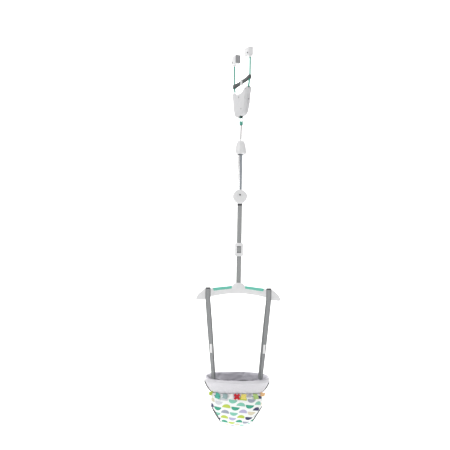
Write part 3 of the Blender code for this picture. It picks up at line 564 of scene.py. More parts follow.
def housing():
    for name, side in LEFT_RIGHT:
        rings = []
        for k in range(9):
            angle = pi / 2 * (1 - k / 8)
            shrink = 0.014 * (1 - cos(angle))
            depth = HOUSING_EDGE + (HOUSING_HALF - HOUSING_EDGE) * sin(angle)
            rings.append(housing_ring(side * depth, shrink, shrink))
        rings += [housing_ring(side * 0.0012), housing_ring(side * 0.0006, 0.0002, 0.0002),
                  housing_ring(side * GAP / 2, 0.0006, 0.0006),
                  housing_ring(side * GAP / 2, WALL, WALL),
                  housing_ring(side * (HOUSING_EDGE - 0.001), WALL, WALL),
                  housing_ring(side * (HOUSING_HALF - WALL), 0.016, 0.016)]
        shell = link(f"housing_{name}_skin", skin(rings))
        for end in (-1, 1):
            low, high = sorted((end * 0.072, end * 0.105))
            combine(shell, box((-0.0052, low, -0.136), (0.0052, high, -0.115)))
            combine(shell, rod((-0.03, end * PIVOT_Y, PIVOT_Z), (0.03, end * PIVOT_Y, PIVOT_Z),
                               PIN_RADIUS + GAP, "X"))
            combine(shell, turned([(0.0052, side * 0.0128), (0.0058, side * 0.03)],
                                  (0, end * PIVOT_Y, PIVOT_Z), "X", 32))
        combine(shell, box((-HOOK_SLOT[0], -HOOK_SLOT[1], -0.262), (*HOOK_SLOT, -0.240)))
        if side < 0:
            for y, z in HOUSING_SCREWS:
                combine(shell, rod((-0.03, y, z), (-0.010, y, z), 0.0024, "X"))
        settle(shell, 35)
        finish_in_clamp(shell, "clamp_housing", SHELL, "shell", f"housing_{name}_shell")
    pin_profile = [(0.0022, -PIN_END), (PIN_RADIUS, PIN_CHAMFER - PIN_END),
                   (PIN_RADIUS, PIN_END - PIN_CHAMFER), (0.0022, PIN_END)]
    for name, y in (("near_pivot_pin", -PIVOT_Y), ("far_pivot_pin", PIVOT_Y)):
        pin = link(f"{name}_skin", turned(pin_profile, (0, y, PIVOT_Z), "X", 32))
        finish_in_clamp(pin, "clamp_housing", PIN_METAL, "steel", name)
    screw_profile = [(0.0024, -HOUSING_HALF - 0.0011), (0.0033, -HOUSING_HALF - 0.0006),
                     (0.0034, -HOUSING_HALF - 0.0001), (0.0020, -HOUSING_HALF), (0.0020, -0.0105)]
    for name, (y, z) in zip(("housing_screw_upper", "housing_screw_lower"), HOUSING_SCREWS):
        head = link(f"{name}_skin", turned(screw_profile, (0, y, z), "X", 32))
        finish_in_clamp(head, "clamp_housing", PIN_METAL, "black_steel", name)
    plug = link("housing_plug", rod((0.0032, -0.0815, -0.185), (0.0032, -0.0760, -0.185), 0.0021,
                                    "Y", 20))
    finish_in_clamp(plug, "clamp_housing", BLACK_STEEL, "black_steel")


def buckle():
    outline = rectangle(0.012, -0.1105, -0.0835, 0.004)
    plate = link("strap_buckle_skin", prism(outline, "X", -0.0032, 0.0032))
    for y in (-0.0055, 0.0055):
        combine(plate, box((-0.01, y - 0.003, -0.1075), (0.01, y + 0.003, -0.0865)))
    bevel(plate, 0.0009)
    finish_in_clamp(plate, "clamp_housing", WHITE, "white_plastic", "strap_buckle")


def rod_path(side):
    lean = Vector((0, PIVOT_Y - ROD_Y, PIVOT_Z - BEND_Z)).normalized()
    end = Vector((0, PIVOT_Y, PIVOT_Z)) - lean * (HUB_RADIUS + 0.0005)
    knee = Vector((0, ROD_Y, BEND_Z))
    bend = [knee + Vector((0, 0, 0.009)), knee + Vector((0, -0.0001, 0.005)),
            knee + Vector((0, -0.0005, 0.001)), knee + lean * 0.004 + Vector((0, -0.0002, 0)),
            knee + lean * 0.009]
    points = [Vector((0, ROD_Y, ROD_TOP)), Vector((0, ROD_Y, -0.02))] + bend + [end]
    return [Vector((0, p.y * side, p.z)) for p in points]


def arm(prefix, side):
    body, cross = f"{prefix}_arm", side * ROD_Y
    bar = link(f"{prefix}_rod_skin", sweep(rod_path(side), ROD_RADIUS, 32))
    finish_in_clamp(bar, body, TEAL_PAINT, "teal", f"{prefix}_rod")

    low, high = sorted((side * (HALF_WALL + PAD_THICK), side * BLOCK_END))
    block = link(f"{prefix}_hook_block_skin",
                 box((-BLOCK_HALF_X, low, 0), (BLOCK_HALF_X, high, BLOCK_HEIGHT)))
    bevel(block, 0.0035, 5)
    combine(block, skin([circle((0, cross, -0.0060), 0.0055, "Z"),
                         circle((0, cross, -0.0050), 0.0063, "Z"),
                         circle((0, cross, 0.004), 0.0070, "Z")]), "UNION")
    combine(block, rod((0, cross, -0.02), (0, cross, ROD_TOP + GAP), ROD_RADIUS + GAP, "Z"))
    combine(block, rod((-0.02, cross, 0.012), (-0.0105, cross, 0.012), 0.0040, "X"))
    settle(block, 35)
    finish_in_clamp(block, body, WHITE, "white_plastic", f"{prefix}_hook_block")

    low, high = sorted((side * (HALF_WALL + 0.0012), side * (HALF_WALL + 0.0037)))
    pad = link(f"{prefix}_pad_skin", box((-0.0115, low, 0.002), (0.0115, high, 0.038)))
    low, high = sorted((side * HALF_WALL, side * (HALF_WALL + 0.0020)))
    for k in range(6):
        z = 0.0050 + 0.006 * k
        combine(pad, box((-0.0108, low, z - 0.0016), (0.0108, high, z + 0.0016)), "UNION")
    finish_in_clamp(pad, body, PAD_RUBBER, "rubber", f"{prefix}_wall_pad")

    inner, outer = 0.0050, ROD_Y
    turn = arc((0, outer), 0.0054, 0, 180, 12)
    path = [(0.0004, inner), (0.0016, 0.018), (0.0030, 0.060), (0.0050, 0.086)] + turn
    path += [(-0.0050, 0.086), (-0.0030, 0.060), (-0.0016, 0.018), (-0.0004, inner)]
    rise = 0.0055 if side < 0 else -0.0010        # the strap slants down to the far rod
    smooth = curve([(x, side * y, STRAP_MID_Z + rise * min(1.0, y / 0.09)) for x, y in path], 3)
    strap = link(f"{prefix}_safety_strap_cloth", ribbon(smooth, 0.0085, WEB_THICK * 0.8, (0, 0, 1)))
    span = [CLAMP @ Vector((0, side * y, STRAP_MID_Z)) for y in (0.015, 0.088)]
    finish_in_clamp(strap, ("clamp_housing", body, *span), SAFETY_WEB, "webbing",
                    f"{prefix}_safety_strap")


# ---------------------------------------------------------------- hook, cord, bell
def snap_hook():
    bow = [(-HOOK_HALF, BARREL_TOP - 0.002), (-HOOK_HALF, HOOK_BOW_Z - 0.008)]
    bow += arc((0, HOOK_BOW_Z), HOOK_HALF, 180, 0, 24)
    hook = link("snap_hook_skin", sweep([(x, 0, z) for x, z in bow], 0.0022, 24))
    barrel = [(0.0052, BARREL_TOP), (0.0066, BARREL_TOP - 0.0005), (0.0078, -0.2725),
              (0.0083, -0.2745), (0.0083, -0.2780), (0.0079, -0.2784), (0.0079, -0.2793),
              (0.0083, -0.2797), (0.0083, -0.2822), (0.0079, -0.2826), (0.0079, -0.2835),
              (0.0083, -0.2839), (0.0083, -0.2860), (0.0078, BARREL_BOTTOM)]
    combine(hook, turned(barrel, (0, 0, 0), "Z", 64), "UNION")
    combine(hook, skin([circle((0, 0, BARREL_BOTTOM - 0.001), 0.0064, "Z"),
                        circle((0, 0, CORD_TOP + 0.0015), 0.0042, "Z")]))
    settle(hook, 35)
    finish_in_clamp(hook, "hook", TEAL_PAINT, "teal", "snap_hook")
    gate = link("hook_gate_skin", sweep([(HOOK_HALF, 0, z) for z in (
        BARREL_TOP + 0.0006, BARREL_TOP + 0.003, HOOK_BOW_Z - 0.003, HOOK_BOW_Z - 0.0005)],
        [0.0017, 0.0015, 0.0015, 0.0017], 20))
    finish_in_clamp(gate, "gate", TEAL_PAINT, "teal", "hook_gate")


def hanger():
    path = [Vector((0, 0, CORD_TOP + (FERRULE_TOP + 0.001 - CORD_TOP) * i / 40))
            for i in range(41)]
    tube = link("hanger_cord_braid", sweep(path, CORD_RADIUS, 32))
    finish(tube, "cord", CORD, "dark_webbing", "hanger_cord")


def half_turned(profile, side, steps=40):
    """Half shell of revolution about Z on one side of X = 0, from a closed (radius, z) profile."""
    rings = []
    for i in range(steps + 1):
        angle = pi * (i / steps - 0.5)
        rings.append([(side * (r * cos(angle) + GAP / 2), r * sin(angle), z)
                      for r, z in profile])
    return skin(rings)


def bell():
    outer = curve_pairs([(0.0044, -0.3525), (0.0060, -0.3519), (0.0090, -0.3534),
                         (0.0132, -0.3572), (0.0177, -0.3648), (0.0211, -0.3750),
                         (0.0236, -0.3880), (0.0249, -0.3990), (0.0252, -0.4075),
                         (0.0241, -0.4140), (0.0215, -0.4172), (0.0190, -0.4180),
                         (0.0162, -0.4180)], 4)
    inner = [(0.0162, -0.4155), (0.0180, -0.4155), (0.0208, -0.4135), (0.0227, -0.4080),
             (0.0227, -0.4000), (0.0212, -0.3890), (0.0186, -0.3765), (0.0152, -0.3675),
             (0.0110, -0.3605), (0.0090, -0.3575), (0.0044, -0.3575)]
    for name, side in LEFT_RIGHT:
        shell = link(f"bell_{name}_skin", half_turned(outer + inner, side))
        bevel(shell, 0.0003, 2, 60)
        finish(shell, "bell", WHITE, "white_plastic", f"bell_{name}_half")


# ---------------------------------------------------------------- spring
def spring_axis(z):
    share = (z - ANCHOR_Z) / (LOWER_ANCHOR_Z - ANCHOR_Z)
    return 0.0012 + 0.0016 * share


SPRING_SPAN = ("bell", "carrier", (0, 0, ANCHOR_Z - 0.004), (0, 0, LOWER_ANCHOR_Z + 0.004))


def spring():
    top, bottom = ANCHOR_Z - 0.0013, LOWER_ANCHOR_Z + 0.0013
    turns, steps = 30, 16
    coil = []
    for i in range(turns * steps + 1):
        z = top + (bottom - top) * i / (turns * steps)
        angle = 2 * pi * i / steps
        coil.append((spring_axis(z) + 0.0036 * cos(angle), 0.0036 * sin(angle), z))
    finish(link("spring_coil", sweep(coil, 0.0008, 10)), SPRING_SPAN, STEEL, "steel", "spring")

    rings, levels = [], 120
    for i in range(levels + 1):
        share = i / levels
        z = ANCHOR_Z - GAP + (LOWER_ANCHOR_Z - ANCHOR_Z + 2 * GAP) * share
        base = 0.0080 - 0.0024 * share
        gather = 0.00045 * sin(2 * pi * (share * 17 + 0.4 * sin(7 * share)))
        ring = []
        for k in range(40):
            angle = 2 * pi * k / 40
            crease = 0.00035 * spread((cos(angle), sin(angle), z * 60), 1.3, 4.0)
            r = base + gather * (0.7 + 0.5 * cos(angle + 5 * share)) + crease
            ring.append((spring_axis(z) + r * cos(angle), r * sin(angle), z))
        rings.append(ring)
    inside = [[(spring_axis(ring[0][2]) + (x - spring_axis(z)) * 0.88, y * 0.88, z)
               for x, y, z in ring] for ring in rings]
    finish(link("spring_sleeve_cloth", skin(rings + inside[::-1], True), 60), SPRING_SPAN, SLEEVE,
           "sleeve", "spring_sleeve")
    for name, x in (("limit_strap_web", -0.0111), ("limit_strap_return", -0.0084)):
        path = [(x + 0.0003 * sin(i * 0.9) + 0.0004 * i / 24, 0,
                 ANCHOR_Z - GAP + (LOWER_ANCHOR_Z - ANCHOR_Z + 2 * GAP) * i / 24)
                for i in range(25)]
        nodes = ("limit_strap",) if name == "limit_strap_web" else ()
        finish(link(name, ribbon(curve(path, 2), 0.0100, 0.0017, (0, 1, 0))), SPRING_SPAN,
               DARK_WEB, "dark_webbing", *nodes)


def disc():
    outer = [(0.0150, 0.0139), (0.0200, 0.0136), (0.0206, 0.0134), (0.0212, 0.0129),
             (0.0222, 0.0129), (0.0228, 0.0134), (0.0250, 0.0133), (0.0275, 0.0126),
             (0.0297, 0.0113), (0.0313, 0.0095), (0.0322, 0.0073), (DISC_RADIUS, 0.0048),
             (DISC_RADIUS, 0.0010), (0.0321, 0.0004), (0.0321, GAP / 2)]
    inner = [(0.0300, GAP / 2), (0.0300, 0.0065), (0.0285, 0.0090), (0.0255, 0.0108),
             (0.018, 0.0110)]
    for name, side in FRONT_REAR:
        shell = link(f"disc_{name}_skin", turned([(r, side * h) for r, h in outer + inner],
                                                 (0, 0, DISC_Z), "Y", 96))
        combine(shell, box((-0.0125, -0.0108, -0.595), (0.0098, 0.0108, -0.565)))
        combine(shell, box((-0.0115, -0.0052, -0.650), (0.0115, 0.0052, -0.627)))
        if side < 0:
            combine(shell, rod((0, -0.02, DISC_SCREW_Z), (0, 0, DISC_SCREW_Z), 0.0024, "Y"))
        settle(shell, 30)
        finish(shell, "carrier", WHITE, "white_plastic", f"disc_{name}_shell")


# ---------------------------------------------------------------- webbing and slider
def upper_webbing():
    loop = arc((0, ROLLER_Z), 0.0040, 0, 180, 12)
    path = [(0.0010, SLIDER_TOP + GAP), (0.0010, -0.74), (0.0010, -0.665), (0.0032, -0.632)]
    path += loop + [(-0.0032, -0.632), (-0.0010, -0.665), (-0.0010, -0.74),
                    (-0.0010, SLIDER_TOP + GAP)]
    strap = link("upper_webbing_cloth", ribbon(curve([(0, y, z) for y, z in path], 6), WEB_HALF,
                                               WEB_THICK))
    finish(strap, ("carrier", "height_slider", (0, 0, -0.655), (0, 0, -0.800)), WEB, "webbing",
           "upper_webbing")
    keeper = [(-0.0112, -0.0042), (0.0112, -0.0042), (0.0112, 0.0042), (-0.0112, 0.0042)]
    ring = rounded([(x, y, 0.0015) for x, y in keeper], 5)
    band = link("webbing_keeper", skin([[(p.x, p.y, z) for p in ring] for z in (-0.6455, -0.6400)]))
    hole = rounded([(x * 0.96, y * 0.78, 0.0010) for x, y in keeper], 5)
    combine(band, skin([[(p.x, p.y, z) for p in hole] for z in (-0.66, -0.62)]))
    bevel(band, 0.0004, 2)
    finish(band, "carrier", DARK_CLOTH, "dark_webbing")


def slider():
    outline = rectangle(SLIDER_HALF, SLIDER_BOTTOM, SLIDER_TOP, 0.006)
    plate = link("slider_skin", prism(outline, "Y", -0.0045, 0.0045))
    bevel(plate, 0.0016, 4)
    channel = WEB_HALF + 0.0008
    combine(plate, box((-channel, -0.0006, SLIDER_BOTTOM - 0.01),
                       (channel, 0.01, SLIDER_TOP + 0.01)))
    window = rectangle(channel, -0.8575, -0.8265, 0.0015, 5)
    combine(plate, prism(window, "Y", -0.01, 0.01))
    for z in (-0.8155, -0.8185, -0.8635, -0.8665):
        combine(plate, rod((-0.0085, -0.0049, z), (0.0085, -0.0049, z), 0.0007, "X", 12))
    settle(plate, 35)
    finish(plate, "height_slider", WHITE, "white_plastic", "slider")
    bar = link("slider_bar_skin", rod((-channel + GAP, 0, -0.842), (channel - GAP, 0, -0.842),
                                      0.0018, "X"))
    finish(bar, "height_slider", WHITE, "white_plastic", "slider_bar")


def lower_webbing():
    path = [(0.0012, SLIDER_TOP - 0.004), (0.0012, -0.8270), (-0.0030, -0.8350),
            (-0.0032, -0.8420), (-0.0030, -0.8490), (0.0012, -0.8570), (0.0012, SLIDER_BOTTOM),
            (0.0, -0.885), (0.0, -0.93), (0.0, -0.97), (0.0, HUB_PIN_Z + 0.004)]
    strap = link("lower_webbing_cloth", ribbon(curve([(0, y, z) for y, z in path], 5), WEB_HALF,
                                               WEB_THICK))
    finish(strap, ("height_slider", "spreader", (0, 0, -0.880), (0, 0, -0.985)), WEB, "webbing",
           "lower_webbing")


# ---------------------------------------------------------------- spreader bar
BAR_CORNERS = [(0.0200, HUB_TOP, 0.006), (0.0270, -1.0030, 0.006), (0.126, SADDLE_Z, 0.030),
               (0.148, SADDLE_Z, 0.010), (0.178, -1.0400, 0.014), (0.194, -1.0690, 0.0065),
               (0.152, -1.0665, 0.010), (0.122, -1.0535, 0.030), (0.075, -1.0440, 0.060),
               (0.030, -1.0385, 0.050)]
GRIP_CORNERS = [(0.0285, -1.0030, 0.003), (0.0300, -1.0160, 0.003), (0.1097, -1.0270, 0.003),
                (0.1140, -1.0130, 0.003)]


def bar_ring(y, distance=0.0):
    return [(p[0], y, p[1]) for p in inset(rounded(mirrored(BAR_CORNERS), 5), distance)]


def spreader_bar():
    for name, side in FRONT_REAR:
        rings = []
        for k in range(7):
            angle = pi / 2 * (1 - k / 6)
            rings.append(bar_ring(side * (BAR_HALF_Y - 0.0055 + 0.0055 * sin(angle)),
                                  0.0052 * (1 - cos(angle))))
        rings += [bar_ring(side * 0.0012), bar_ring(side * 0.0004, 0.0004),
                  bar_ring(side * GAP / 2, 0.0006), bar_ring(side * GAP / 2, WALL),
                  bar_ring(side * (BAR_HALF_Y - 0.006), WALL),
                  bar_ring(side * (BAR_HALF_Y - 0.003), 0.0050)]
        shell = link(f"bar_{name}_skin", skin(rings))
        combine(shell, box((-0.0113, -0.0016, -1.000), (0.0113, 0.0016, -0.980)))
        for end in (-1, 1):
            notch = [(end * p[0], p[1]) for p in inset(rounded(GRIP_CORNERS, 5), -GAP)]
            combine(shell, prism(notch, "Y", -0.02, 0.02))
            if side > 0:
                combine(shell, rod((end * 0.062, 0.005, -1.036), (end * 0.062, 0.03, -1.036),
                                   0.0024, "Y"))
        settle(shell, 35)
        finish(shell, "spreader", WHITE, "white_plastic", f"bar_{name}_shell")
    for name, side in LEFT_RIGHT:
        outline = [(side * p[0], p[1]) for p in rounded(GRIP_CORNERS, 6)]
        grip = link(f"{name}_grip_skin", prism(outline, "Y", -0.0152, 0.0152))
        bevel(grip, 0.0024, 4)
        for k in range(9):
            x = side * (0.037 + 0.0085 * k)
            z = -1.0120 - 0.0113 * k / 9
            for y in (-0.0156, 0.0156):
                combine(grip, rod((x - side * 0.0006, y, z - 0.0035), (x + side * 0.0006, y,
                                                                      z + 0.0035), 0.0009,
                                  Vector((side * 0.17, 0, 1)), 10))
        settle(grip, 35)
        finish(grip, "spreader", TEAL_GRIP, "teal_grip", f"{name}_grip")


# ---------------------------------------------------------------- seat
def ring_point(half, angle):
    c, s = cos(angle), sin(angle)
    return (copysign(abs(c) ** (2 / ROUND), c) * half[0],
            copysign(abs(s) ** (2 / ROUND), s) * half[1])


def even_angles(half, count):
    """Angles that divide a ring into equal lengths."""
    fine = [2 * pi * i / 2000 for i in range(2001)]
    lengths = [0.0]
    for a, b in zip(fine, fine[1:]):
        lengths.append(lengths[-1] + dist(ring_point(half, a), ring_point(half, b)))
    made, i = [], 0
    for k in range(count):
        target = lengths[-1] * k / count
        while lengths[i + 1] < target:
            i += 1
        share = (target - lengths[i]) / (lengths[i + 1] - lengths[i])
        made.append(fine[i] + (fine[i + 1] - fine[i]) * share)
    return made


SIDES = 180                         # points round the collar and the bag
COLLAR_DROP = 0.0665                # height of the collar
ANGLES = even_angles((0.125, 0.1), SIDES)
COLLAR_SECTION = [(0.0000, 0.0000), (0.0035, -0.0100), (0.0010, -0.0200), (-0.0055, -0.0330),
                  (-0.0120, -0.0450), (-0.0200, -0.0570), (-0.0270, -0.0655),
                  (-0.0340, -0.0665), (-0.0335, -0.0560), (-0.0310, -0.0450),
                  (-0.0255, -0.0330), (-0.0200, -0.0220), (-0.0140, -0.0080),
                  (-0.0070, 0.0010)]


def collar_point(out, drop, angle):
    tilt = RIM_TILT * (1 + drop / COLLAR_DROP)
    x, y = ring_point((RIM_HALF[0] + out, RIM_HALF[1] + out * 0.8), angle)
    return Vector((x, y, RIM_Z + drop + tilt * y))


def collar():
    section = curve_pairs(COLLAR_SECTION, 4, True)
    inner_from = 4 * 7                  # the section turns inside at its eighth corner
    rings = []
    for i, (out, drop) in enumerate(section):
        low = min(1.0, max(0.0, -drop / COLLAR_DROP))
        inside = 1.0 if i >= inner_from else 0.0
        ring = []
        for angle in ANGLES:
            point = collar_point(out, drop, angle)
            outward = Vector((point.x, point.y * 1.3, 0)).normalized()
            pleat = 0.0010 * low ** 1.5 * sin(angle * 46 + 3 * spread(point, 20, 2.0))
            crease = 0.0019 * spread((point.x * 0.6, point.y * 0.6, point.z * 2.2), 48, 7.0)
            puff = 0.0012 * spread(point, 18, 11.0)
            slant = point.x * 55 - point.z * 85 + 3.0 * spread(point, 16, 5.0)
            fold = -0.0056 * inside * max(0.0, sin(slant)) ** 3
            fold *= 0.35 + 0.65 * abs(spread(point, 22, 9.0)) ** 0.5
            ring.append(point + outward * (pleat + crease + puff - fold * (1 - low ** 4)))
        rings.append(ring)
    ring = finish(link("rim_collar_padded", skin(rings, True), 70), "seat", COLLAR, "collar",
                  "rim_collar")
    # The inner faces of the collar take the lining cloth, darker as painted shade inside the seat.
    ring.data.materials.append(SHADED_LINING)
    for face in ring.data.polygons:
        if face.index // SIDES >= inner_from:
            face.material_index = 1
    # Painted shadow: a black cord along the inside of the front rim stands for the shadow line
    # between the front rim and the inner back.
    cord = []
    for i in range(61):
        angle = radians(226 + 74 * i / 60)
        point = collar_point(-0.0085, 0.0, angle)
        wave = 0.0016 * sin(i * 0.34) + 0.0010 * sin(i * 0.13 + 1)
        cord.append(point + Vector((0, 0.0010 * sin(i * 0.3), 0.0012 + wave)))
    radii = [0.0005 + 0.0013 * sin(pi * i / 60) ** 0.5 for i in range(61)]
    finish(link("rim_shadow_line", sweep(cord, radii, 14)), "seat", BINDING, "binding")
    for name, side in LEFT_RIGHT:
        path = []
        for out, drop in curve_pairs([(0.0030, -0.0150), (0.0010, -0.0200), (-0.0055, -0.0330),
                                      (-0.0120, -0.0450), (-0.0200, -0.0570),
                                      (-0.0268, -0.0655)]):
            angle = radians(-9) if side > 0 else radians(189)
            point = collar_point(out, drop, angle)
            path.append(point + Vector((side * 0.0012, -0.0004, 0)))
        count = len(path)
        radii = [0.0014 + 0.0024 * sin(pi * (i + 1) / (count + 1)) for i in range(count)]
        finish(link(f"{name}_collar_piping", sweep(path, radii, 16)), "seat", BINDING, "binding")


POUCH_LEVELS = [(-1.4755, 0.1120, 0.0930), (-1.500, 0.1140, 0.0950), (-1.530, 0.1130, 0.0930),
                (-1.560, 0.1070, 0.0860), (-1.585, 0.0950, 0.0750), (-1.605, 0.0780, 0.0600),
                (-1.620, 0.0520, 0.0400), (-1.628, 0.0250, 0.0200)]
LEG_AXIS = Vector((0.86, -0.16, -0.48)).normalized()
LEG_CENTRE = Vector((0.085, -0.012, -1.572))
LEG_RADIUS = 0.043


def pouch_levels():
    """Smooth list of (z, half x, half y, length down the side)."""
    fine = curve(POUCH_LEVELS, 8)
    made, run = [], 0.0
    for i, p in enumerate(fine):
        if i:
            before = fine[i - 1]
            run += hypot(p.x - before.x, (p.y + p.z - before.y - before.z) / 2)
        made.append((p.x, p.y, p.z, run))
    return made


def leg_line(side):
    """Way of a leg and the middle of its opening."""
    return (Vector((LEG_AXIS.x * side, LEG_AXIS.y, LEG_AXIS.z)),
            Vector((LEG_CENTRE.x * side, LEG_CENTRE.y, LEG_CENTRE.z)))


def leg_tool(side, radius):
    way, centre = leg_line(side)
    return skin([circle(centre - way * 0.045, radius, way, 96),
                 circle(centre + way * 0.090, radius, way, 96)])


def bowl(name, inward, thickness, pleat):
    """Open bag with the shape of the pouch, moved inward."""
    levels = pouch_levels()
    last = len(levels) - 1
    skins = []
    for depth in (inward, inward + thickness):
        rings = []
        for i, (z, rx, ry, run) in enumerate(levels):
            lift = depth * (i / last) ** 2
            ring = []
            for angle in ANGLES:
                x, y = ring_point((rx - depth, ry - depth), angle)
                point = Vector((x, y, z + lift))
                top = max(0.0, 1 - run / 0.045)
                fold = pleat * top * sin(angle * 60 + 4 * spread(point, 25, 3.0))
                fold += 0.0013 * spread((x, y, z * 1.4), 24, 5.0) * (1 - (i / last) ** 3)
                ring.append(point + Vector((x, y, 0)).normalized() * fold)
            rings.append(ring)
        skins.append(rings)
    outside, inside = skins
    return link(name, skin(outside[::-1] + inside), 60)


def lay_print(piece):
    """UV in metres on the bag: U round it from the front, V down its side."""
    levels = pouch_levels()
    mesh = piece.data
    layer = mesh.uv_layers.get("UVMap") or mesh.uv_layers.new(name="UVMap")
    for loop in mesh.loops:
        point = mesh.vertices[loop.vertex_index].co
        k = min(range(len(levels)), key=lambda i: abs(levels[i][0] - point.z))
        j = min(k + 1, len(levels) - 1) if point.z < levels[k][0] else max(k - 1, 0)
        gap = levels[j][0] - levels[k][0]
        share = (point.z - levels[k][0]) / gap if gap else 0.0
        run = levels[k][3] + (levels[j][3] - levels[k][3]) * share
        angle = atan2(point.x, -point.y)
        radius = hypot(point.x, point.y)
        layer.data[loop.index].uv = (angle * (0.35 * radius + 0.65 * 0.104), -run)


def leg_edge(side, radius, inward):
    """Points where a tube of a radius along the leg leaves the bag."""
    levels = pouch_levels()

    def outside(point):
        for (top, rx0, ry0, _), (low, rx1, ry1, _) in zip(levels, levels[1:]):
            if point.z >= low:
                share = (top - point.z) / (top - low)
                rx, ry = rx0 + (rx1 - rx0) * share, ry0 + (ry1 - ry0) * share
                return (abs(point.x / (rx - inward)) ** ROUND
                        + abs(point.y / (ry - inward)) ** ROUND > 1)
        return True

    way, centre = leg_line(side)
    points = []
    for start in circle(centre - way * 0.045, radius, way, 120):
        low, high = 0.0, 0.135
        for _ in range(30):
            middle = (low + high) / 2
            low, high = (low, middle) if outside(start + way * middle) else (middle, high)
        points.append(start + way * low)
    return points


def pouch():
    skin_piece = bowl("seat_pouch_cloth", 0.0, 0.0014, 0.0010)
    liner = bowl("seat_liner_cloth", 0.0024, 0.0012, 0.0006)
    for side in (-1, 1):
        combine(skin_piece, leg_tool(side, LEG_RADIUS))
        combine(liner, leg_tool(side, LEG_RADIUS))
    for piece in (skin_piece, liner):
        lay_print(piece)
        settle(piece, 60)
    finish(skin_piece, "seat", PRINTED, "pouch", "seat_pouch")
    # The liner takes the lining cloth, darkened as painted shade inside the seat.
    finish(liner, "seat", SHADED_LINING, "collar", "seat_liner")
    for name, side in LEFT_RIGHT:
        edge = leg_edge(side, LEG_RADIUS - 0.0012, 0.0010)
        top, bottom = max(p.z for p in edge), min(p.z for p in edge)
        radii = [0.0010 + 0.0024 * ((p.z - bottom) / (top - bottom)) ** 1.6
                 + 0.0003 * sin(i * 1.3) for i, p in enumerate(edge)]
        finish(link(f"{name}_leg_binding_cloth", sweep(edge, radii, 16, True), 70), "seat",
               BINDING, "binding", f"{name}_leg_binding")


SIDEWAYS = 90                       # splay of the end ribbons, which stand out at the sides
BAND_RING = (0.1140 + 0.0022, 0.0950 + 0.0022)
# Play ribbons: colour, middle in X, splay in degrees, length, half width
RIBBONS = [("lime", (0.50, 0.62, 0.10), -0.1090, SIDEWAYS, 0.0210, 0.0080),
           ("teal", (0.08, 0.44, 0.33), -0.0810, 10, 0.0200, 0.0115),
           ("mist", (0.30, 0.42, 0.42), -0.0500, 6, 0.0180, 0.0100),
           ("white", (0.80, 0.80, 0.78), -0.0255, -4, 0.0170, 0.0095),
           ("red", (0.55, 0.01, 0.02), 0.0000, 0, 0.0150, 0.0068),
           ("yellow", (0.80, 0.68, 0.16), 0.0290, 4, 0.0185, 0.0110),
           ("grey", (0.42, 0.42, 0.46), 0.0540, 6, 0.0110, 0.0090),
           ("green", (0.42, 0.60, 0.20), 0.0800, -8, 0.0200, 0.0115),
           ("orange", (0.72, 0.25, 0.03), 0.1060, SIDEWAYS, 0.0240,
            0.0085)]


def ribbon_place(x_target):
    """Point and outward way on the front of the band at an X."""
    angle = min((radians(a / 4) for a in range(180 * 4, 360 * 4)),
                key=lambda a: abs(ring_point(BAND_RING, a)[0] - x_target))
    x, y = ring_point(BAND_RING, angle)
    x2, y2 = ring_point(BAND_RING, angle + 0.02)
    along = Vector((x2 - x, y2 - y, 0)).normalized()
    return Vector((x, y, BAND_Z)), Vector((along.y, -along.x, 0)), along


def play_ribbons():
    path = [(*ring_point(BAND_RING, radians(188 + 164 * i / 90)), BAND_Z) for i in range(91)]
    band = finish(link("ribbon_band_cloth", ribbon(path, 0.0045, 0.0014, (0, 0, 1))), "seat",
                  COLLAR, "collar", "ribbon_band")
    for index, (name, colour, x, splay, length, half_width) in enumerate(RIBBONS):
        place, out, along = ribbon_place(x)
        if name == "orange":
            material = striped(f"ribbon_{name}", colour, (0.85, 0.72, 0.45))
        else:
            material = cloth(f"ribbon_{name}", colour, 0.0007, 0.85, 0.0001)
        if name == "red":
            red_bow(place + out * 0.0040 + Vector((0, 0, -0.0060)), out, along, material)
            continue
        place = place + Vector((0, 0, 0.0025))
        if splay == SIDEWAYS:
            down = (Vector((x, 0, 0)).normalized() + Vector((0, -0.15, -0.28))).normalized()
            across = (Vector((0, 0, 1)) - down * down.z).normalized()
            out = Vector((0, -1, 0)) + down * down.y
            out = (out - across * out.dot(across)).normalized()
            place = place - down * 0.006
        else:
            down = Vector((0, 0, -cos(radians(splay))))
            down -= along * sin(radians(splay))
            across = down.cross(out).normalized()
        profile = [(0.0012, -0.003), (0.0030, 0.001), (0.0056, length * 0.35),
                   (0.0066, length * 0.75), (0.0055, length * 0.97), (0.0036, length),
                   (0.0022, length * 0.93), (0.0019, length * 0.6), (0.0016, length * 0.2),
                   (0.0010, -0.002)]
        loop = [place + out * r + down * d + across * 0.0010 * sin(d * 300 + index)
                for r, d in profile]
        made = link(f"ribbon_{name}", ribbon(curve(loop, 4), half_width, 0.0006, across, 0.0008))
        finish(made, "seat", material, "ribbon")


def red_bow(centre, out, along, material):
    """Two crossed ribbons with a knot over them."""
    for name, turn in (("left", 45), ("right", -45)):
        way = along * cos(radians(turn)) + Vector((0, 0, sin(radians(turn))))
        path = [centre + way * d + out * r for d, r in (
            (-0.0155, 0.0014), (-0.0100, 0.0024), (-0.0040, 0.0006), (0.0040, 0.0006),
            (0.0100, 0.0024), (0.0155, 0.0014))]
        made = link(f"ribbon_red_{name}", ribbon(curve(path, 5), 0.0052, 0.0007, way.cross(out)))
        finish(made, "seat", material, "ribbon")
    knot = [centre + Vector((0, 0, d)) + out * 0.0022 for d in (-0.0048, -0.0016, 0.0016, 0.0048)]
    made = link("ribbon_red_knot", ribbon(knot, 0.0048, 0.0022, along))
    finish(made, "seat", material, "ribbon")


def strap_end(side, front, x_target, half, z):
    best = min((radians(a) for a in range(1, 90)),
               key=lambda a: abs(ring_point(half, a)[0] - x_target))
    x, y = ring_point(half, best)
    x2, y2 = ring_point(half, best + 0.02)
    flip = -1 if front else 1
    tangent = Vector(((x - x2) * side, (y - y2) * flip, 0)).normalized()
    return Vector((side * x, flip * y, z)), tangent * side


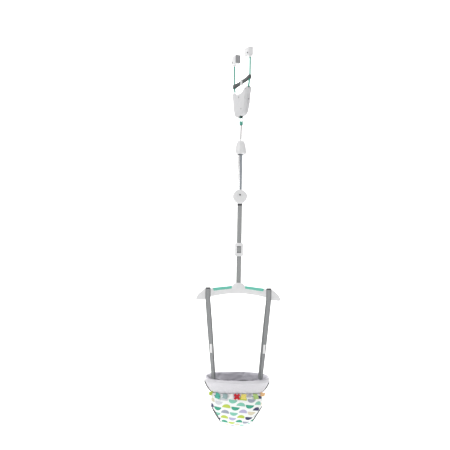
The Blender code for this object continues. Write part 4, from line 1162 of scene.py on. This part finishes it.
def strap_side(side, x):
    """One seat strap: front leg up to the bar, over it, and down to the back of the rim."""
    inner = (RIM_HALF[0] - 0.0255, RIM_HALF[1] - 0.0240)
    front, front_across = strap_end(side, True, 0.104, inner, -1.432)
    back, back_across = strap_end(side, False, 0.102, inner, -1.424)
    y, top, low = BAR_HALF_Y + 0.0013, SADDLE_Z + 0.0013, -1.066
    over = [(-y, low), (-y, -1.050), (-y, -1.032), (-y + 0.0005, top - 0.008),
            (-y + 0.0045, top - 0.0010), (-0.005, top + 0.0002), (0.0, top + 0.0002),
            (0.005, top + 0.0002), (y - 0.0045, top - 0.0010), (y - 0.0005, top - 0.008),
            (y, -1.032), (y, -1.050), (y, low)]
    flat = Vector((1, 0, 0))
    points, across = [], []
    for i in range(12):
        share = i / 12
        points.append(front.lerp(Vector((x, -y, low)), share))
        across.append(front_across.lerp(flat, min(1.0, share * 1.1)))
    points += [Vector((x, v, z)) for v, z in over]
    across += [flat] * len(over)
    for i in range(12):
        share = (i + 1) / 12
        points.append(Vector((x, y, low)).lerp(back, share))
        across.append(flat.lerp(back_across, share))
    return points, across


def seat_straps():
    for name, side in LEFT_RIGHT:
        points, across = strap_side(side, side * STRAP_X)
        path = curve(points, 4)
        sides = [Vector(v) for v in curve(across, 4)]
        span = ("spreader", "seat", (0, 0, -1.075), (0, 0, -1.200))
        strap = link(f"{name}_strap_cloth", ribbon(path, STRAP_HALF, STRAP_THICK * 0.8, sides))
        finish(strap, span, STRAP_WEB, "webbing", f"{name}_strap")
        # Painted shade: a dark cloth strip over the strap's turn on top of the bar, where the turn
        # lies in shadow.
        band = [p for p in path if abs(p.z - SADDLE_Z) < 0.006 or p.z > SADDLE_Z]
        patch = [p + Vector((0, copysign(0.0006, p.y), 0.0013)) for p in band]
        shade_patch = link(f"{name}_strap_shadow_patch", ribbon(patch, STRAP_HALF - 0.0006, 0.0010))
        finish(shade_patch, "spreader", DARK_CLOTH, "webbing")
        lead = points[12] - points[0]
        heights = [(z - points[0].z) / lead.z for z in (-1.301, -1.262)]
        turn = across[6]
        out = lead.cross(turn).normalized()
        out *= -copysign(STRAP_THICK / 2 + 0.0008, out.y)
        tag_path = [points[0] + lead * (heights[0] + (heights[1] - heights[0]) * k / 8)
                    + out * (1 + 0.5 * sin(k * 0.8)) for k in range(9)]
        tag = link(f"{name}_tag_cloth", ribbon(tag_path, 0.0052, 0.0006, turn))
        finish(tag, "seat", TAG, "tag", f"{name}_tag")


# ---------------------------------------------------------------- CAD pieces that stay
KEPT = {STEEL: ("near_lever", "far_lever", "draw_pin",
                "cord_ferrule", "upper_spring_anchor", "lower_spring_anchor", "webbing_roller",
                "hub_pin"),
        BLACK_STEEL: ("near_block_screw", "far_block_screw",
                       "draw_shank", "disc_screw", "bar_screw_left",
                      "bar_screw_right")}


def kept_parts():
    for material, names in KEPT.items():
        for name in names:
            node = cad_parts[name]
            node.data.materials.clear()
            node.data.materials.append(material)
            step = node.modifiers.new("edge", "BEVEL")
            step.width, step.segments, step.limit_method = 0.0003, 2, "ANGLE"
            step.angle_limit = radians(40)


# ---------------------------------------------------------------- room, light and camera
# Lamps: name, place, aim, size, power
LAMPS = [("key", (-2.4, -2.8, 1.0), (0, 0, -0.9), 1.4, 52.0),
         ("fill", (2.6, -2.6, -0.2), (0, 0, -0.9), 2.2, 10.0),
         ("wash", (0.0, 1.8, 2.4), (0, 3.6, -1.6), 3.0, 320.0)]
WORLD_STRENGTH = 0.62
CAMERA_PLACE, CAMERA_ROLL = (-0.0600, -4.0, -1.003), radians(0.95)
SENSOR, FOCAL_LENGTH, CAMERA_SHIFT = 36.0, 71.8, 0.1345


def stage():
    floor_z, back = -2.07, 3.2
    profile = [(-9.0, floor_z), (back, floor_z)]
    profile += [(back + 1.6 * sin(a), floor_z + 1.6 * (1 - cos(a)))
                for a in (radians(6 * k) for k in range(1, 16))] + [(back + 1.6, 4.0)]
    bm = bmesh.new()
    rows = [[bm.verts.new((x, y, z)) for x in (-9, 9)] for y, z in profile]
    for low, high in zip(rows, rows[1:]):
        bm.faces.new((low[0], low[1], high[1], high[0]))
    floor = link("floor", bm)
    paint = Recipe("pale_floor", (0.93, 0.93, 0.93), 0.9)
    paint.wear(0.9, 0.03, 0.985)
    floor.data.materials.append(paint.material)

    world = bpy.data.worlds.new("studio")
    world.use_nodes = True
    world.node_tree.nodes["Background"].inputs["Color"].default_value = (1.0, 1.0, 1.0, 1.0)
    world.node_tree.nodes["Background"].inputs["Strength"].default_value = WORLD_STRENGTH
    bpy.context.scene.world = world

    for name, place, aim, size, power in LAMPS:
        lamp = bpy.data.lights.new(name, "AREA")
        lamp.size, lamp.energy = size, power
        made = bpy.data.objects.new(name, lamp)
        made.location = place
        made.rotation_euler = (Vector(aim) - Vector(place)).to_track_quat("-Z", "Y").to_euler()
        bpy.context.scene.collection.objects.link(made)

    lens = bpy.data.cameras.new("camera")
    lens.sensor_width, lens.lens, lens.shift_y = SENSOR, FOCAL_LENGTH, CAMERA_SHIFT
    camera = bpy.data.objects.new("camera", lens)
    camera.location = CAMERA_PLACE
    turn = Matrix.Rotation(radians(90), 4, "X") @ Matrix.Rotation(CAMERA_ROLL, 4, "Z")
    camera.rotation_euler = turn.to_euler()
    bpy.context.scene.collection.objects.link(camera)
    bpy.context.scene.camera = camera
    bpy.context.scene.view_settings.view_transform = "Standard"


def build():
    housing()
    buckle()
    arm("near", -1)
    arm("far", 1)
    snap_hook()
    hanger()
    bell()
    spring()
    disc()
    upper_webbing()
    slider()
    lower_webbing()
    spreader_bar()
    collar()
    pouch()
    play_ribbons()
    seat_straps()
    kept_parts()
    stage()


build()
